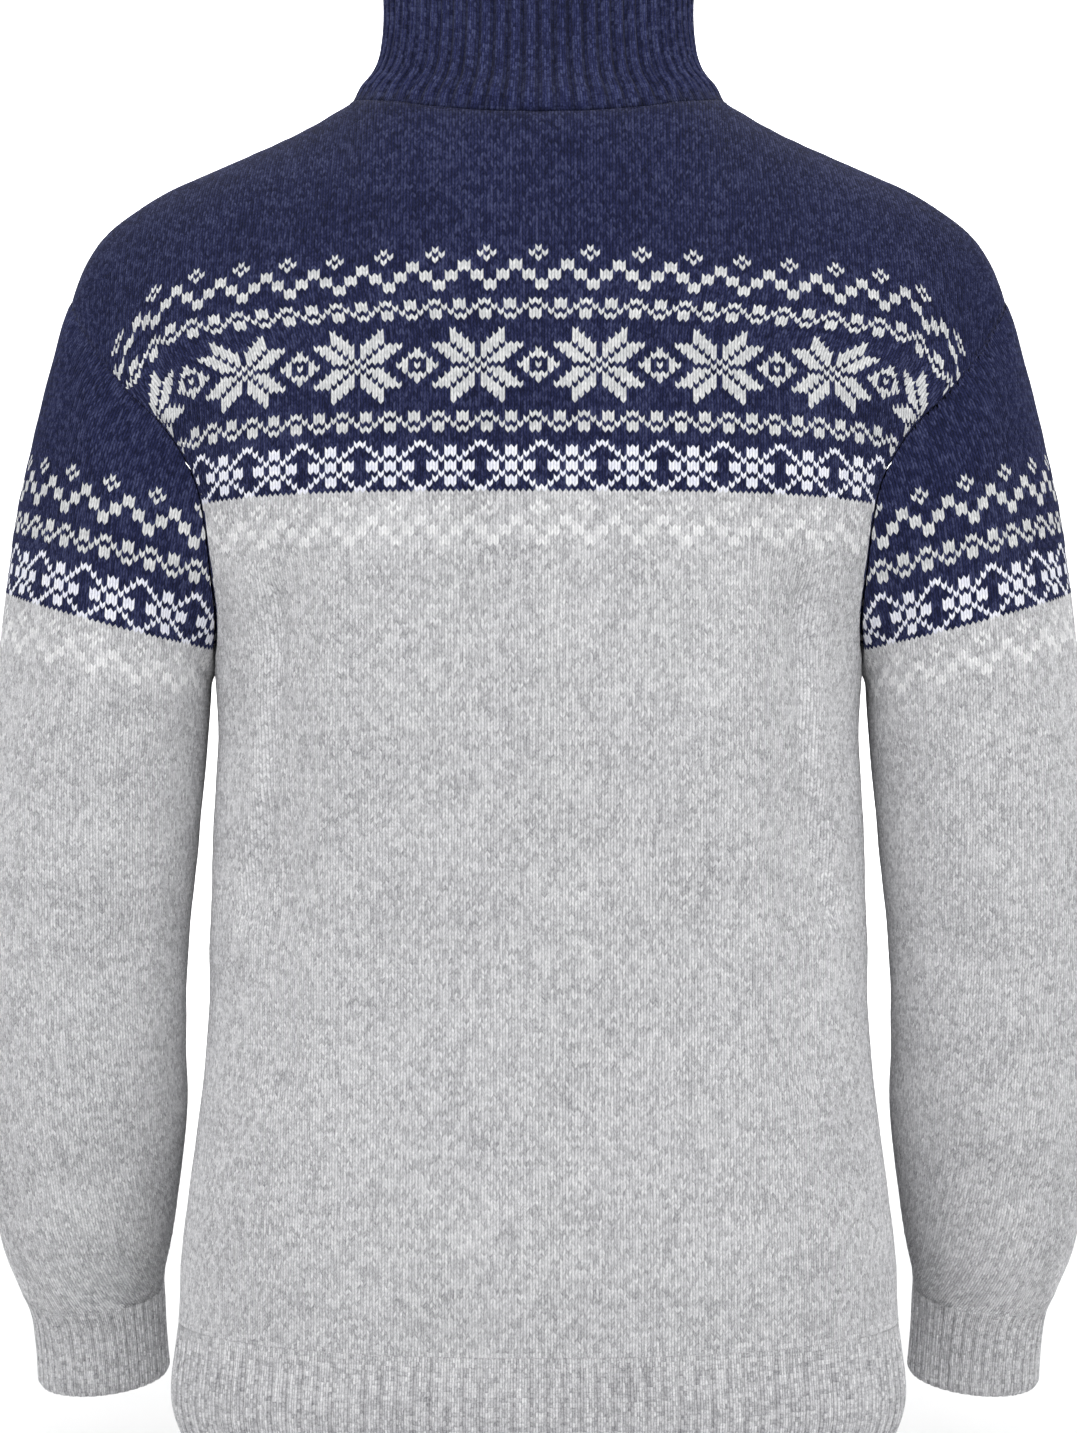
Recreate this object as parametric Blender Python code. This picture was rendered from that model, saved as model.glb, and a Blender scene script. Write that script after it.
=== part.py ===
"""Half-zip sweater, filled out as worn: hollow knitted pieces, 0.3 mm apart at their seams, and a closed zip.

Metres, +Z up, the front faces -Y. The origin is the middle of the neck opening, level with the side neck points.
The wearer's left is +X. Angles round a sleeve run from 0 at its outer side, through 90 degrees at the back.
"""

from math import cos, pi, radians, sin

import bmesh
import bpy
import numpy as np
from mathutils import Matrix, Vector

# Cloth
WALL = 0.0028  # thickness of the knit
GAP = 0.00032  # between two pieces at a seam
THIN_SHARE = 0.36  # of the wall, at the underarm, where body and sleeve are pressed together
THIN_REACH = 0.060
OWN_LEAN = 0.6  # how far a wall leans there from its seam's normal to the piece's own
OWN_LEAN_REACH = 0.120
RIB_HEIGHT = 0.0012

# Number of ribs
HEM_RIBS = 59  # on each half
CUFF_RIBS = 36
COLLAR_RIBS = 66

# Grid
NECK_COLUMNS = 6  # from the centre to the side neck point
SHOULDER_COLUMNS = 7  # from there to the armhole
ARMHOLE_STEPS = 12  # from the underarm to the shoulder, on each side
SLEEVE_COLUMNS = 2 * ARMHOLE_STEPS

# Armhole: a leaning ring through the shoulder top and the underarm
ARMHOLE_TOP = np.array([0.247, 0.0, -0.105])
UNDERARM = np.array([0.1705, 0.0, -0.297])
ARMHOLE_DEPTH = {"back": 0.070, "front": -0.072}

# How far the armhole's sides lean to the middle of the body, by the angle from the shoulder down
ARMHOLE_LEAN = (
    ("angle", "back", "front"),
    (0, 0.0000, 0.0000),
    (30, 0.0020, 0.0009),
    (45, 0.0050, 0.0040),
    (60, 0.0130, 0.0101),
    (75, 0.0265, 0.0187),
    (90, 0.0313, 0.0270),
    (105, 0.0270, 0.0317),
    (120, 0.0200, 0.0304),
    (135, 0.0139, 0.0230),
    (150, 0.0070, 0.0126),
    (165, 0.0018, 0.0036),
    (180, 0.0000, 0.0000),
)

# Neck opening
NECK_HALF_WIDTH = 0.099
NECK_DEPTH = {"back": 0.085, "front": -0.098}
NECK_DROP = {"back": 0.016, "front": 0.060}

# Torso sections from the hem's edge up; back and front are the depths behind and before the side seam
TORSO = (
    ("height", "half_width", "back", "front"),
    (-0.7075, 0.1860, 0.101, -0.107),
    (-0.6900, 0.1925, 0.108, -0.115),
    (-0.6500, 0.1908, 0.111, -0.119),
    (-0.6420, 0.1900, 0.111, -0.119),
    (-0.6000, 0.1880, 0.111, -0.120),
    (-0.5500, 0.1810, 0.105, -0.117),
    (-0.4950, 0.1750, 0.099, -0.114),
    (-0.4400, 0.1735, 0.097, -0.114),
    (-0.3900, 0.1720, 0.100, -0.118),
    (-0.3400, 0.1692, 0.106, -0.124),
    (-0.2970, 0.1705, 0.112, -0.128),
    (-0.2745, 0.1702, 0.114, -0.129),
    (-0.2420, 0.1840, 0.116, -0.130),
    (-0.2010, 0.2130, 0.118, -0.129),
)
HEM_SEAM = -0.6420
HEM_SMILE = 0.005  # how much lower the rows hang at the centre of the hem than at its sides
ROUNDNESS = 2.4  # exponent of the torso's sections

# Shoulder line from the side neck point to the armhole
SHOULDER = (
    ("x", "z"),
    (0.0990, 0.0000),
    (0.1210, -0.0130),
    (0.1450, -0.0240),
    (0.1700, -0.0345),
    (0.1930, -0.0450),
    (0.2120, -0.0560),
    (0.2250, -0.0660),
    (0.2350, -0.0770),
    (0.2410, -0.0875),
    (0.2470, -0.1050),
)

# Sleeve and cuff rings below the armhole: outer and inner point, half depth, and how far the arm comes forward
SLEEVE = (
    ("outer_x", "outer_z", "inner_x", "inner_z", "depth", "forward"),
    (0.2535, -0.1240, 0.1732, -0.3060, 0.0730, 0.000),
    (0.2625, -0.1580, 0.1738, -0.3135, 0.0720, 0.000),
    (0.2720, -0.1990, 0.1744, -0.3225, 0.0700, 0.001),
    (0.2810, -0.2520, 0.1754, -0.3350, 0.0670, 0.002),
    (0.2870, -0.3000, 0.1770, -0.3530, 0.0640, 0.003),
    (0.2925, -0.3500, 0.1795, -0.3800, 0.0610, 0.004),
    (0.2955, -0.4000, 0.1830, -0.4150, 0.0580, 0.006),
    (0.2970, -0.4450, 0.1865, -0.4520, 0.0560, 0.009),
    (0.2975, -0.4900, 0.1880, -0.4900, 0.0540, 0.014),
    (0.2965, -0.5350, 0.1880, -0.5300, 0.0520, 0.022),
    (0.2940, -0.5750, 0.1920, -0.5680, 0.0490, 0.031),
    (0.2880, -0.6080, 0.1968, -0.6020, 0.0455, 0.040),
    (0.2790, -0.6340, 0.2025, -0.6310, 0.0385, 0.047),
    (0.2755, -0.6420, 0.2025, -0.6390, 0.0365, 0.049),
    (0.2725, -0.6620, 0.2020, -0.6580, 0.0353, 0.053),
    (0.2715, -0.6850, 0.2005, -0.6790, 0.0355, 0.057),
)
CUFF_RINGS = 4  # the last rings, the first of which is the cuff's seam

# Collar rings from the neck seam up: share of its height, half width and half depth
COLLAR = (
    ("share", "half_width", "half_depth"),
    (0.00, 0.0990, 0.0915),
    (0.07, 0.0950, 0.0880),
    (0.20, 0.0872, 0.0815),
    (0.42, 0.0828, 0.0775),
    (1.00, 0.0832, 0.0775),
)
COLLAR_SETTLED = 0.20  # the share of its height above which the collar is an even ring
COLLAR_TOP = {"side": 0.080, "back": 0.070, "front": 0.030}
COLLAR_FORWARD = 0.016  # how far the collar's top stands before the neck's middle

# How far the ribs stand out on each row of a band, as shares of their height, from its lowest row up
HEM_RELIEF = (0.7, 1.0, 1.0, 0.0)
CUFF_RELIEF = (0.7, 1.0, 1.0, 0.0)
COLLAR_RELIEF = (0.0, 1.0, 1.0, 1.0, 0.7)

# Zip
SLIT_HALF = 0.0045
SLIT_BOTTOM = -0.205
TAPE_SPLIT = 0.0008  # half of the slot between the two tapes
TAPE_EDGE = 0.014  # from the centre to a tape's outer edge
TAPE_THICKNESS = 0.0009
TAPE_SEAT = WALL + GAP + 0.0001  # from the cloth's outer skin to the tape
SLIDER_DROP = 0.012  # of the slider's hinge below the collar's edge
SLIDER_HALF_WIDTH = 0.0038
SLIDER_UP, SLIDER_DOWN = 0.0046, 0.0060  # its reach above and below the hinge
SLIDER_THICKNESS = 0.0022
BAIL_WIDTH = 0.0018
BAIL_THICKNESS = 0.0009
BAIL_CLEAR = 0.0025  # between the bail and the slider's plate
BAIL_INNER = 0.0015  # half of the space inside the bail, along the zip
PULL_HALF_WIDTH = 0.0030
PULL_NECK_HALF = 0.0023
PULL_LENGTH = 0.0260
PULL_THICKNESS = 0.0014
PULL_HOLE_HALF = 0.0013
PULL_HOLE_LENGTH = 0.0048

# Largest folds on the body and the sleeves: the side, the two ends' distance out and height, depth, half width
FOLDS = (
    ("side", "x1", "z1", "x2", "z2", "depth", "half_width"),
    ("back", 0.128, -0.255, 0.130, -0.420, 0.0050, 0.014),
    ("back", 0.137, -0.380, 0.140, -0.500, 0.0035, 0.014),
    ("front", 0.122, -0.260, 0.128, -0.430, 0.0050, 0.015),
    ("back", 0.215, -0.440, 0.260, -0.475, 0.0030, 0.012),
    ("front", 0.200, -0.470, 0.255, -0.500, 0.0040, 0.012),
    ("back", 0.225, -0.560, 0.275, -0.580, 0.0025, 0.010),
)

# Colour, roughness and metallic value
FINISHES = {
    "heather": ((0.56, 0.57, 0.60), 0.9, 0.0),
    "navy": ((0.030, 0.035, 0.115), 0.9, 0.0),
    "tape": ((0.030, 0.035, 0.100), 0.8, 0.0),
    "metal": ((0.45, 0.45, 0.47), 0.35, 1.0),
}
COLLECTION = "half_zip_sweater"


def table(rows):
    """The named columns of a table, as arrays."""
    return {name: np.array([row[i] for row in rows[1:]]) for i, name in enumerate(rows[0])}


def unit(vectors):
    return vectors / np.maximum(np.linalg.norm(vectors, axis=-1, keepdims=True), 1e-12)


def along(points, shares):
    """Points at the given shares of a polyline's length."""
    steps = np.linalg.norm(np.diff(points, axis=0), axis=1)
    length = np.concatenate([[0], np.cumsum(steps)])
    at = np.asarray(shares) * length[-1]
    return np.stack([np.interp(at, length, points[:, k]) for k in range(3)], axis=1)


def armhole(angle, side):
    """A point of the left armhole, from 0 at the shoulder to 180 degrees at the underarm."""
    middle = (ARMHOLE_TOP + UNDERARM) / 2
    half = (ARMHOLE_TOP - UNDERARM) / 2
    leans = table(ARMHOLE_LEAN)
    lean = np.interp(np.degrees(angle), leans["angle"], leans[side])
    return middle + half * cos(angle) + np.array([-lean, ARMHOLE_DEPTH[side] * sin(angle), 0])


def neck(angle, side):
    """A point of the neck opening, from 0 at the centre to 90 degrees at the left side neck point."""
    drop = -NECK_DROP[side] * cos(angle) ** 2
    return np.array([NECK_HALF_WIDTH * sin(angle), NECK_DEPTH[side] * cos(angle), drop])


def torso_row(edge, side, smile=0.0):
    """A torso row from the centre to its left edge: a rounded ellipse, cut off beside the edge and drawn to it."""
    sections = table(TORSO)
    half_width, depth = (np.interp(edge[2], sections["height"], sections[name]) for name in ("half_width", side))
    turn = np.linspace(0, np.arccos((edge[1] / depth) ** (ROUNDNESS / 2)), 60)
    x = half_width * np.sin(turn) ** (2 / ROUNDNESS)
    y = depth * np.cos(turn) ** (2 / ROUNDNESS)
    z = edge[2] - smile * np.cos(turn) ** 2
    row = along(np.stack([x, y, z], axis=1), np.linspace(0, 1, NECK_COLUMNS + SHOULDER_COLUMNS + 1))
    return drawn_to(row, edge)


def drawn_to(row, edge):
    """The row with its last point at the edge, and the points before it drawn along less and less."""
    return row + (edge - row[-1]) * np.linspace(0, 1, len(row))[:, None] ** 2


def top_row(side):
    """The panel's top: the neck opening, then the shoulder seam."""
    opening = [neck(pi / 2 * i / NECK_COLUMNS, side) for i in range(NECK_COLUMNS + 1)]
    line = table(SHOULDER)
    shoulder = np.stack([line["x"], 0 * line["x"], line["z"]], axis=1)
    return np.concatenate([opening, along(shoulder, np.linspace(0, 1, SHOULDER_COLUMNS + 1))[1:]])


def with_slit(row):
    """The row from the centre out, with one more point at the slit's edge."""
    share = SLIT_HALF / (row[1][0] - row[0][0])
    return np.insert(row, 1, row[0] + (row[1] - row[0]) * share, axis=0)


def lower_rows(side):
    """Half rows of a panel from the hem seam to below the underarm."""
    rows = []
    for height, half_width, _, _ in TORSO[1:]:
        if HEM_SEAM <= height < UNDERARM[2]:
            smile = HEM_SMILE * (UNDERARM[2] - height) / (UNDERARM[2] - HEM_SEAM)
            rows.append(torso_row(np.array([half_width, 0, height]), side, smile))
    return rows


def upper_rows(side):
    """Half rows from the underarm up; above the armhole's middle they roll over to the shoulder and the neck."""
    chest = torso_row(armhole(pi / 2, side), side)
    top = top_row(side)
    rows = []
    for step in range(ARMHOLE_STEPS + 1):
        angle = pi * (1 - step / ARMHOLE_STEPS)
        edge = armhole(angle, side)
        if angle >= pi / 2:
            rows.append(torso_row(edge, side))
        else:
            rows.append(drawn_to(chest + (top - chest) * [1 - sin(angle), 1 - sin(angle), cos(angle)], edge))
    return rows


def panel_grid(side):
    """A whole panel, its rows from the hem up and its columns against the clock as seen from above."""
    rows = []
    for half in lower_rows(side) + upper_rows(side):
        half = with_slit(half)
        rows.append(np.concatenate([half[:0:-1] * [-1, 1, 1], half]))
    grid = np.array(rows)
    return grid if side == "front" else grid[:, ::-1]


def sleeve_grid():
    """The left sleeve and cuff, from the cuff's edge up to the armhole."""
    rings = table(SLEEVE)
    turn = np.linspace(0, 2 * pi, SLEEVE_COLUMNS, endpoint=False)[:, None]
    steps = [2 * pi * i / SLEEVE_COLUMNS for i in range(SLEEVE_COLUMNS)]
    grid = [[armhole(a, "back") if a <= pi else armhole(2 * pi - a, "front") for a in steps]]
    slope = np.gradient(rings["forward"], rings["outer_z"] + rings["inner_z"]) * 2
    for i, depth in enumerate(rings["depth"]):
        outer = np.array([rings["outer_x"][i], -rings["forward"][i], rings["outer_z"][i]])
        inner = np.array([rings["inner_x"][i], -rings["forward"][i], rings["inner_z"][i]])
        across = unit(np.array([0, 1, slope[i]])) * depth
        grid.append((outer + inner) / 2 + (outer - inner) / 2 * np.cos(turn) + across * np.sin(turn))
    return np.array(grid)[::-1]


def collar_grid(seam):
    """The collar from the neck seam up."""
    deep = seam[:, 1] / np.where(seam[:, 1] > 0, NECK_DEPTH["back"], -NECK_DEPTH["front"])
    start_depth = np.where(seam[:, 1] > 0, NECK_DEPTH["back"], -NECK_DEPTH["front"])
    end_height = np.where(deep > 0, COLLAR_TOP["back"], COLLAR_TOP["front"])
    top = COLLAR_TOP["side"] + (end_height - COLLAR_TOP["side"]) * deep**2
    rows = []
    for share, half_width, half_depth in COLLAR[1:]:
        depth = start_depth + (half_depth - start_depth) * min(1, share / COLLAR_SETTLED)
        spread_share = (half_width - SLIT_HALF) / (NECK_HALF_WIDTH - SLIT_HALF)
        x = np.sign(seam[:, 0]) * (SLIT_HALF + (np.abs(seam[:, 0]) - SLIT_HALF) * spread_share)
        y = deep * depth - COLLAR_FORWARD * share
        rows.append(np.stack([x, y, seam[:, 2] + (top - seam[:, 2]) * share], axis=1))
    return np.array(rows)


def neck_seam(front, back):
    """The neck opening from the slit round the left, the back and the right, along the panels' top rows."""
    middle = front.shape[1] // 2
    left_front = front[-1, middle + 1 : middle + NECK_COLUMNS + 2]
    behind = back[-1, middle - NECK_COLUMNS : middle + NECK_COLUMNS + 1]
    right_front = front[-1, middle - NECK_COLUMNS - 1 : middle]
    return np.concatenate([left_front, behind, right_front])


def hem_grid(panel, side):
    """Half of the hem, from its edge up to the panel's lowest row."""
    sections = table(TORSO)
    below = sections["height"] <= HEM_SEAM
    wide, deep = sections["half_width"][below], sections[side][below]
    rows = []
    for height, w, d in zip(sections["height"][below], wide / wide[-1], deep / deep[-1]):
        rows.append(panel[0] * [w, d, 1] + [0, 0, height - HEM_SEAM])
    return np.array(rows)


def mirrored(grid):
    """The same piece on the other side, its faces still pointing out."""
    return grid[:, ::-1] * [-1, 1, 1]


def skin_faces(shape, closed, kept=lambda row, column: True):
    """Quads of a grid of points, pointing out."""
    rows, columns = shape[:2]
    faces = []
    for r in range(rows - 1):
        for c in range(columns if closed else columns - 1):
            if kept(r, c):
                d = (c + 1) % columns
                low, high = r * columns, (r + 1) * columns
                faces.append((low + c, low + d, high + d, high + c))
    return faces


def cloth_skins():
    """Every cloth piece as a thin skin on a coarse grid: its points and faces. Neighbours share their seam's points."""
    front, back, sleeve = panel_grid("front"), panel_grid("back"), sleeve_grid()
    middle = front.shape[1] // 2
    below_slit = lambda r, c: c not in (middle - 1, middle) or front[r, middle, 2] < SLIT_BOTTOM
    skins = {
        "front_panel": (front, skin_faces(front.shape, False, below_slit)),
        "back_panel": (back, skin_faces(back.shape, False)),
    }
    for end, turn in (("left", lambda grid: grid), ("right", mirrored)):
        for name, part in (("sleeve", sleeve[CUFF_RINGS - 1 :]), ("cuff", sleeve[:CUFF_RINGS])):
            skins[f"{name}_{end}"] = (turn(part), skin_faces(part.shape, True))
    collar = collar_grid(neck_seam(front, back))
    skins["collar"] = (collar, skin_faces(collar.shape, False))
    for side, panel in (("front", front), ("back", back)):
        hem = hem_grid(panel, side)
        skins[f"hem_{side}"] = (hem, skin_faces(hem.shape, False))
    return skins


def face_normal(points, face):
    return unit(np.cross(points[face[2]] - points[face[0]], points[face[3]] - points[face[1]]))


def own_normals(points, faces):
    total = np.zeros(points.shape)
    for face in faces:
        total[list(face)] += face_normal(points, face)
    return unit(total)


def shared_normals(skins):
    """Normals at every point of every skin, the same where pieces meet at a seam, and straight down underarm."""
    total = {}
    key = lambda point: tuple(np.round(point, 6) + 0.0)
    for grid, faces in skins.values():
        points = grid.reshape(-1, 3)
        for point, normal in zip(points, own_normals(points, faces)):
            total[key(point)] = total.get(key(point), 0) + normal
    for way in (1, -1):
        total[key(UNDERARM * [way, 1, 1])] = np.array([0.0, 0.0, -1.0])
    return {
        name: unit(np.array([total[key(p)] for p in grid.reshape(-1, 3)])).reshape(grid.shape)
        for name, (grid, faces) in skins.items()
    }


def border(faces):
    """The edges that only one face has, in that face's direction, each with its face."""
    edges = {edge: face for face in faces for edge in zip(face, face[1:] + face[:1])}
    return {edge: face for edge, face in edges.items() if edge[::-1] not in edges}


def drawn_in(points, faces, normals):
    """A skin's points with its border drawn in by half a seam's gap, square to the normals."""
    inward = {}
    for (a, b), face in border(faces).items():
        run = unit(points[b] - points[a])
        for i in (a, b):
            side = np.cross(normals[i], run)
            if np.linalg.norm(side) < 0.3:
                side = np.cross(face_normal(points, face), run)
            inward.setdefault(i, []).append(unit(side))
    points = points.copy()
    for i, sides in inward.items():
        way = unit(np.sum(sides, axis=0))
        points[i] += way * GAP / 2 / max(0.5, float(way @ sides[0]))
    return points


def fold_depth(points):
    """How far the largest folds push each point in."""
    pushed = np.zeros(len(points))
    for side, x1, z1, x2, z2, depth, half_width in FOLDS[1:]:
        start, run = np.array([x1, z1]), np.array([x2 - x1, z2 - z1])
        flat = np.stack([np.abs(points[:, 0]), points[:, 2]], axis=1) - start
        share = np.clip(flat @ run / (run @ run), 0, 1)[:, None]
        away = np.linalg.norm(flat - share * run, axis=1)
        here = points[:, 1] > 0 if side == "back" else points[:, 1] < 0
        pushed += here * depth * np.exp(-((away / half_width) ** 2))
    return pushed


def to_underarm(points):
    """How far each point is from the nearer underarm point, as a column."""
    left = np.stack([np.abs(points[:, 0]), points[:, 1], points[:, 2]], axis=1)
    return np.linalg.norm(left - UNDERARM, axis=1)[:, None]


def inner_skin(outer, normals, own):
    """The inside of a wall, thinner at the underarm and there leaning to its own side of the seam."""
    away = to_underarm(outer)
    thickness = WALL * np.minimum(1, THIN_SHARE + (1 - THIN_SHARE) * away / THIN_REACH)
    lean = OWN_LEAN * np.maximum(0, 1 - away / OWN_LEAN_REACH)
    return outer - unit(normals + own * lean) * thickness


def add_object(name, mesh, finish, smooth):
    """A mesh as a named piece with its own material, shaded smooth up to an angle in degrees."""
    colour, roughness, metallic = FINISHES[finish]
    mesh.shade_smooth()
    mesh.set_sharp_from_angle(angle=radians(smooth))
    made = bpy.data.materials.new(name)
    made.use_nodes = True
    shader = made.node_tree.nodes["Principled BSDF"]
    shader.inputs["Base Color"].default_value = (*colour, 1)
    shader.inputs["Roughness"].default_value = roughness
    shader.inputs["Metallic"].default_value = metallic
    mesh.materials.clear()
    mesh.materials.append(made)
    item = bpy.data.objects.new(name, mesh)
    bpy.data.collections[COLLECTION].objects.link(item)
    return item


def split(points, faces):
    """The quads as triangles, each split along its shorter diagonal."""
    triangles = []
    for a, b, c, d in faces:
        if np.linalg.norm(points[a] - points[c]) < np.linalg.norm(points[b] - points[d]):
            triangles += [(a, b, c), (a, c, d)]
        else:
            triangles += [(a, b, d), (b, c, d)]
    return triangles


def add_wall(name, outer, inner, faces, finish):
    """A closed wall between matching outer and inner skins, its edge split the same way on both sides of a seam."""
    count = len(outer)
    triangles = split(outer, faces)
    shell = triangles + [tuple(i + count for i in reversed(triangle)) for triangle in triangles]
    for a, b in border(faces):
        step = outer[b] - outer[a]
        step[0] *= np.sign(outer[a][0] + outer[b][0])
        if step[np.argmax(np.abs(step))] > 0:
            shell += [(b, a, b + count), (a, a + count, b + count)]
        else:
            shell += [(b, a, a + count), (b, a + count, b + count)]
    return add_shell(name, np.concatenate([outer, inner]), shell, finish, 40)


def add_shell(name, points, shell, finish, smooth):
    """A named piece from points and faces, without the points that no face uses."""
    used = sorted({i for face in shell for i in face})
    place = {old: new for new, old in enumerate(used)}
    mesh = bpy.data.meshes.new(name)
    mesh.from_pydata([tuple(points[i]) for i in used], [], [tuple(place[i] for i in face) for face in shell])
    return add_object(name, mesh, finish, smooth)


def plain_piece(name, skin, normals, finish):
    """A stockinette piece: a wall with the largest folds."""
    grid, faces = skin
    normals = normals.reshape(-1, 3)
    points = grid.reshape(-1, 3)
    fold = fold_depth(points)
    fold[sorted({i for edge in border(faces) for i in edge})] = 0
    outer = drawn_in(points, faces, normals) - normals * fold[:, None]
    add_wall(name, outer, inner_skin(outer, normals, own_normals(points, faces)), faces, finish)


def column_places(row, steps, closed):
    """Where a row's finer columns lie between its own, which they all keep: about even along it."""
    row = np.concatenate([row, row[:1]]) if closed else row
    length = np.concatenate([[0], np.cumsum(np.linalg.norm(np.diff(row, axis=0), axis=1))])
    marks = np.round(length / length[-1] * steps).astype(int)
    places = [k + np.arange(b - a) / (b - a) for k, (a, b) in enumerate(zip(marks, marks[1:]))]
    return np.concatenate(places if closed else places + [[len(row) - 1]])


def spread(grid, places, closed):
    """Each row of a grid with its points at the given places between its columns."""
    rows = np.concatenate([grid, grid[:, :1]], axis=1) if closed else grid
    low = np.minimum(places.astype(int), rows.shape[1] - 2)
    part = (places - low)[:, None]
    return rows[:, low] * (1 - part) + rows[:, low + 1] * part


def ribbed_piece(name, grid, normals, ribs, closed, relief, finish):
    """A band with ribs raised on its outside over a plain inside, which has a column for each rib alone."""
    places = column_places(grid[relief.index(0)], 2 * ribs, closed)
    points, outward = spread(grid, places, closed), unit(spread(normals, places, closed))
    rows, count = points.shape[:2]
    faces = skin_faces(points.shape, closed)
    base = drawn_in(points.reshape(-1, 3), faces, outward.reshape(-1, 3)).reshape(points.shape)
    height = np.zeros((rows, count, 1))
    height[:, 1::2, 0] = RIB_HEIGHT * np.array(relief)[:, None]
    outer, inner = base + outward * height, (base - outward * WALL)[:, ::2]
    first = outer.shape[0] * outer.shape[1]
    shell = faces + [tuple(first + i for i in reversed(face)) for face in skin_faces(inner.shape, closed)]
    at = lambda row, column: row * count + column % count if closed else row * count + column
    inside = lambda row, column: first + row * inner.shape[1] + column // 2 % inner.shape[1]
    for c in range(0, 2 * ribs, 2):
        shell.append((at(0, c + 2), at(0, c + 1), at(0, c), inside(0, c), inside(0, c + 2)))
        top = rows - 1
        shell.append((at(top, c), at(top, c + 1), at(top, c + 2), inside(top, c + 2), inside(top, c)))
    if not closed:
        for column, order in ((0, range(rows)), (count - 1, range(rows)[::-1])):
            shell.append(tuple([at(r, column) for r in order] + [inside(r, column) for r in order[::-1]]))
    add_shell(name, np.concatenate([outer.reshape(-1, 3), inner.reshape(-1, 3)]), shell, finish, 60)


def zip_tape(name, side, skins, normals):
    """One tape behind a slit's edge; side is 1 on the left and -1 on the right."""
    front, collar = skins["front_panel"][0], skins["collar"][0]
    middle = front.shape[1] // 2
    first = int(np.argmax(front[:, middle, 2] >= SLIT_BOTTOM)) - 1
    columns = (middle + side, middle + 2 * side)
    ends = (0, 1) if side > 0 else (-1, -2)
    at = lambda panel, band: np.concatenate([panel[first:][:, columns], band[1:][:, ends]])
    points, outward = at(front, collar), at(normals["front_panel"], normals["collar"])
    x = points[:, :, :1] * side
    share = (TAPE_EDGE - x[:, 0]) / (x[:, 1] - x[:, 0])
    points[:, 1] = points[:, 0] + (points[:, 1] - points[:, 0]) * share
    outward[:, 1] = outward[:, 0] + (outward[:, 1] - outward[:, 0]) * share
    inner_edge, inner_way = points[:, :1].copy(), outward[:, :1].copy()
    inner_edge[:, :, 0] = TAPE_SPLIT * side
    points = np.concatenate([inner_edge, points], axis=1)
    outward = np.concatenate([inner_way, outward], axis=1)
    if side < 0:
        points, outward = points[:, ::-1], outward[:, ::-1]
    flat, way = points.reshape(-1, 3), outward.reshape(-1, 3)
    top = flat - way * TAPE_SEAT
    add_wall(name, top, top - way * TAPE_THICKNESS, skin_faces(points.shape, False), "tape")


def zip_frame(skins):
    """The slider's hinge on the collar's front: its place, the way up along the zip and the way out."""
    collar = skins["collar"][0]
    top, below = collar[-1, 0] * [0, 1, 1], collar[-2, 0] * [0, 1, 1]
    up = unit(top - below)
    out = np.cross([1, 0, 0], up)
    plate_face = SLIDER_THICKNESS - WALL
    return top - up * SLIDER_DROP + out * (plate_face + BAIL_CLEAR / 2), up, out


def outline_solid(outlines, thickness):
    """A flat plate from closed outlines, holes included, lying in the plane of its outlines."""
    curve = bpy.data.curves.new("outline", "CURVE")
    curve.dimensions = "2D"
    curve.fill_mode = "BOTH"
    curve.extrude = thickness / 2
    for outline in outlines:
        spline = curve.splines.new("POLY")
        spline.points.add(len(outline) - 1)
        for point, (x, y) in zip(spline.points, outline):
            point.co = (x, y, 0, 1)
        spline.use_cyclic_u = True
    item = bpy.data.objects.new("outline", curve)
    bpy.context.scene.collection.objects.link(item)
    mesh = bpy.data.meshes.new_from_object(item.evaluated_get(bpy.context.evaluated_depsgraph_get()))
    bpy.data.objects.remove(item)
    work = bmesh.new()
    work.from_mesh(mesh)
    bmesh.ops.remove_doubles(work, verts=work.verts, dist=0.000001)
    work.to_mesh(mesh)
    work.free()
    return mesh


def placed(mesh, columns, origin):
    """The mesh's own axes turned to the given columns, and its origin moved."""
    turn = Matrix([[column[row] for column in columns] for row in range(3)]).to_4x4()
    mesh.transform(Matrix.Translation(Vector(origin)) @ turn)
    return mesh


def zip_slider(skins):
    """The slider: a rounded plate on the tapes, with a bail over it for the pull."""
    hinge, up, out = zip_frame(skins)
    face = BAIL_CLEAR / 2
    cut = SLIDER_HALF_WIDTH * 0.35
    shield = [
        (-SLIDER_HALF_WIDTH + cut, -SLIDER_DOWN), (SLIDER_HALF_WIDTH - cut, -SLIDER_DOWN),
        (SLIDER_HALF_WIDTH - cut / 2, 0), (SLIDER_HALF_WIDTH, SLIDER_UP - cut),
        (SLIDER_HALF_WIDTH - cut, SLIDER_UP), (-SLIDER_HALF_WIDTH + cut, SLIDER_UP),
        (-SLIDER_HALF_WIDTH, SLIDER_UP - cut), (-SLIDER_HALF_WIDTH + cut / 2, 0),
    ]
    plate = outline_solid([shield], SLIDER_THICKNESS)
    across = np.array([1, 0, 0])
    placed(plate, (across, up, out), hinge - out * (face + SLIDER_THICKNESS / 2))
    slider = add_object("zip_slider", plate, "metal", 30)
    inner, outer = BAIL_INNER, BAIL_INNER + BAIL_THICKNESS
    root, top = -face - SLIDER_THICKNESS / 2, face + BAIL_THICKNESS
    arch = [
        (-outer, root), (-inner, root), (-inner, face), (inner, face), (inner, root), (outer, root),
        (outer, face), (inner, top), (-inner, top), (-outer, face),
    ]
    bail = bpy.data.objects.new("bail", placed(outline_solid([arch], BAIL_WIDTH), (up, out, across), hinge))
    bpy.data.collections["cutters"].objects.link(bail)
    bail.hide_render = True
    bail.display_type = "WIRE"
    joined = slider.modifiers.new("bail", "BOOLEAN")
    joined.operation = "UNION"
    joined.object = bail


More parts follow.
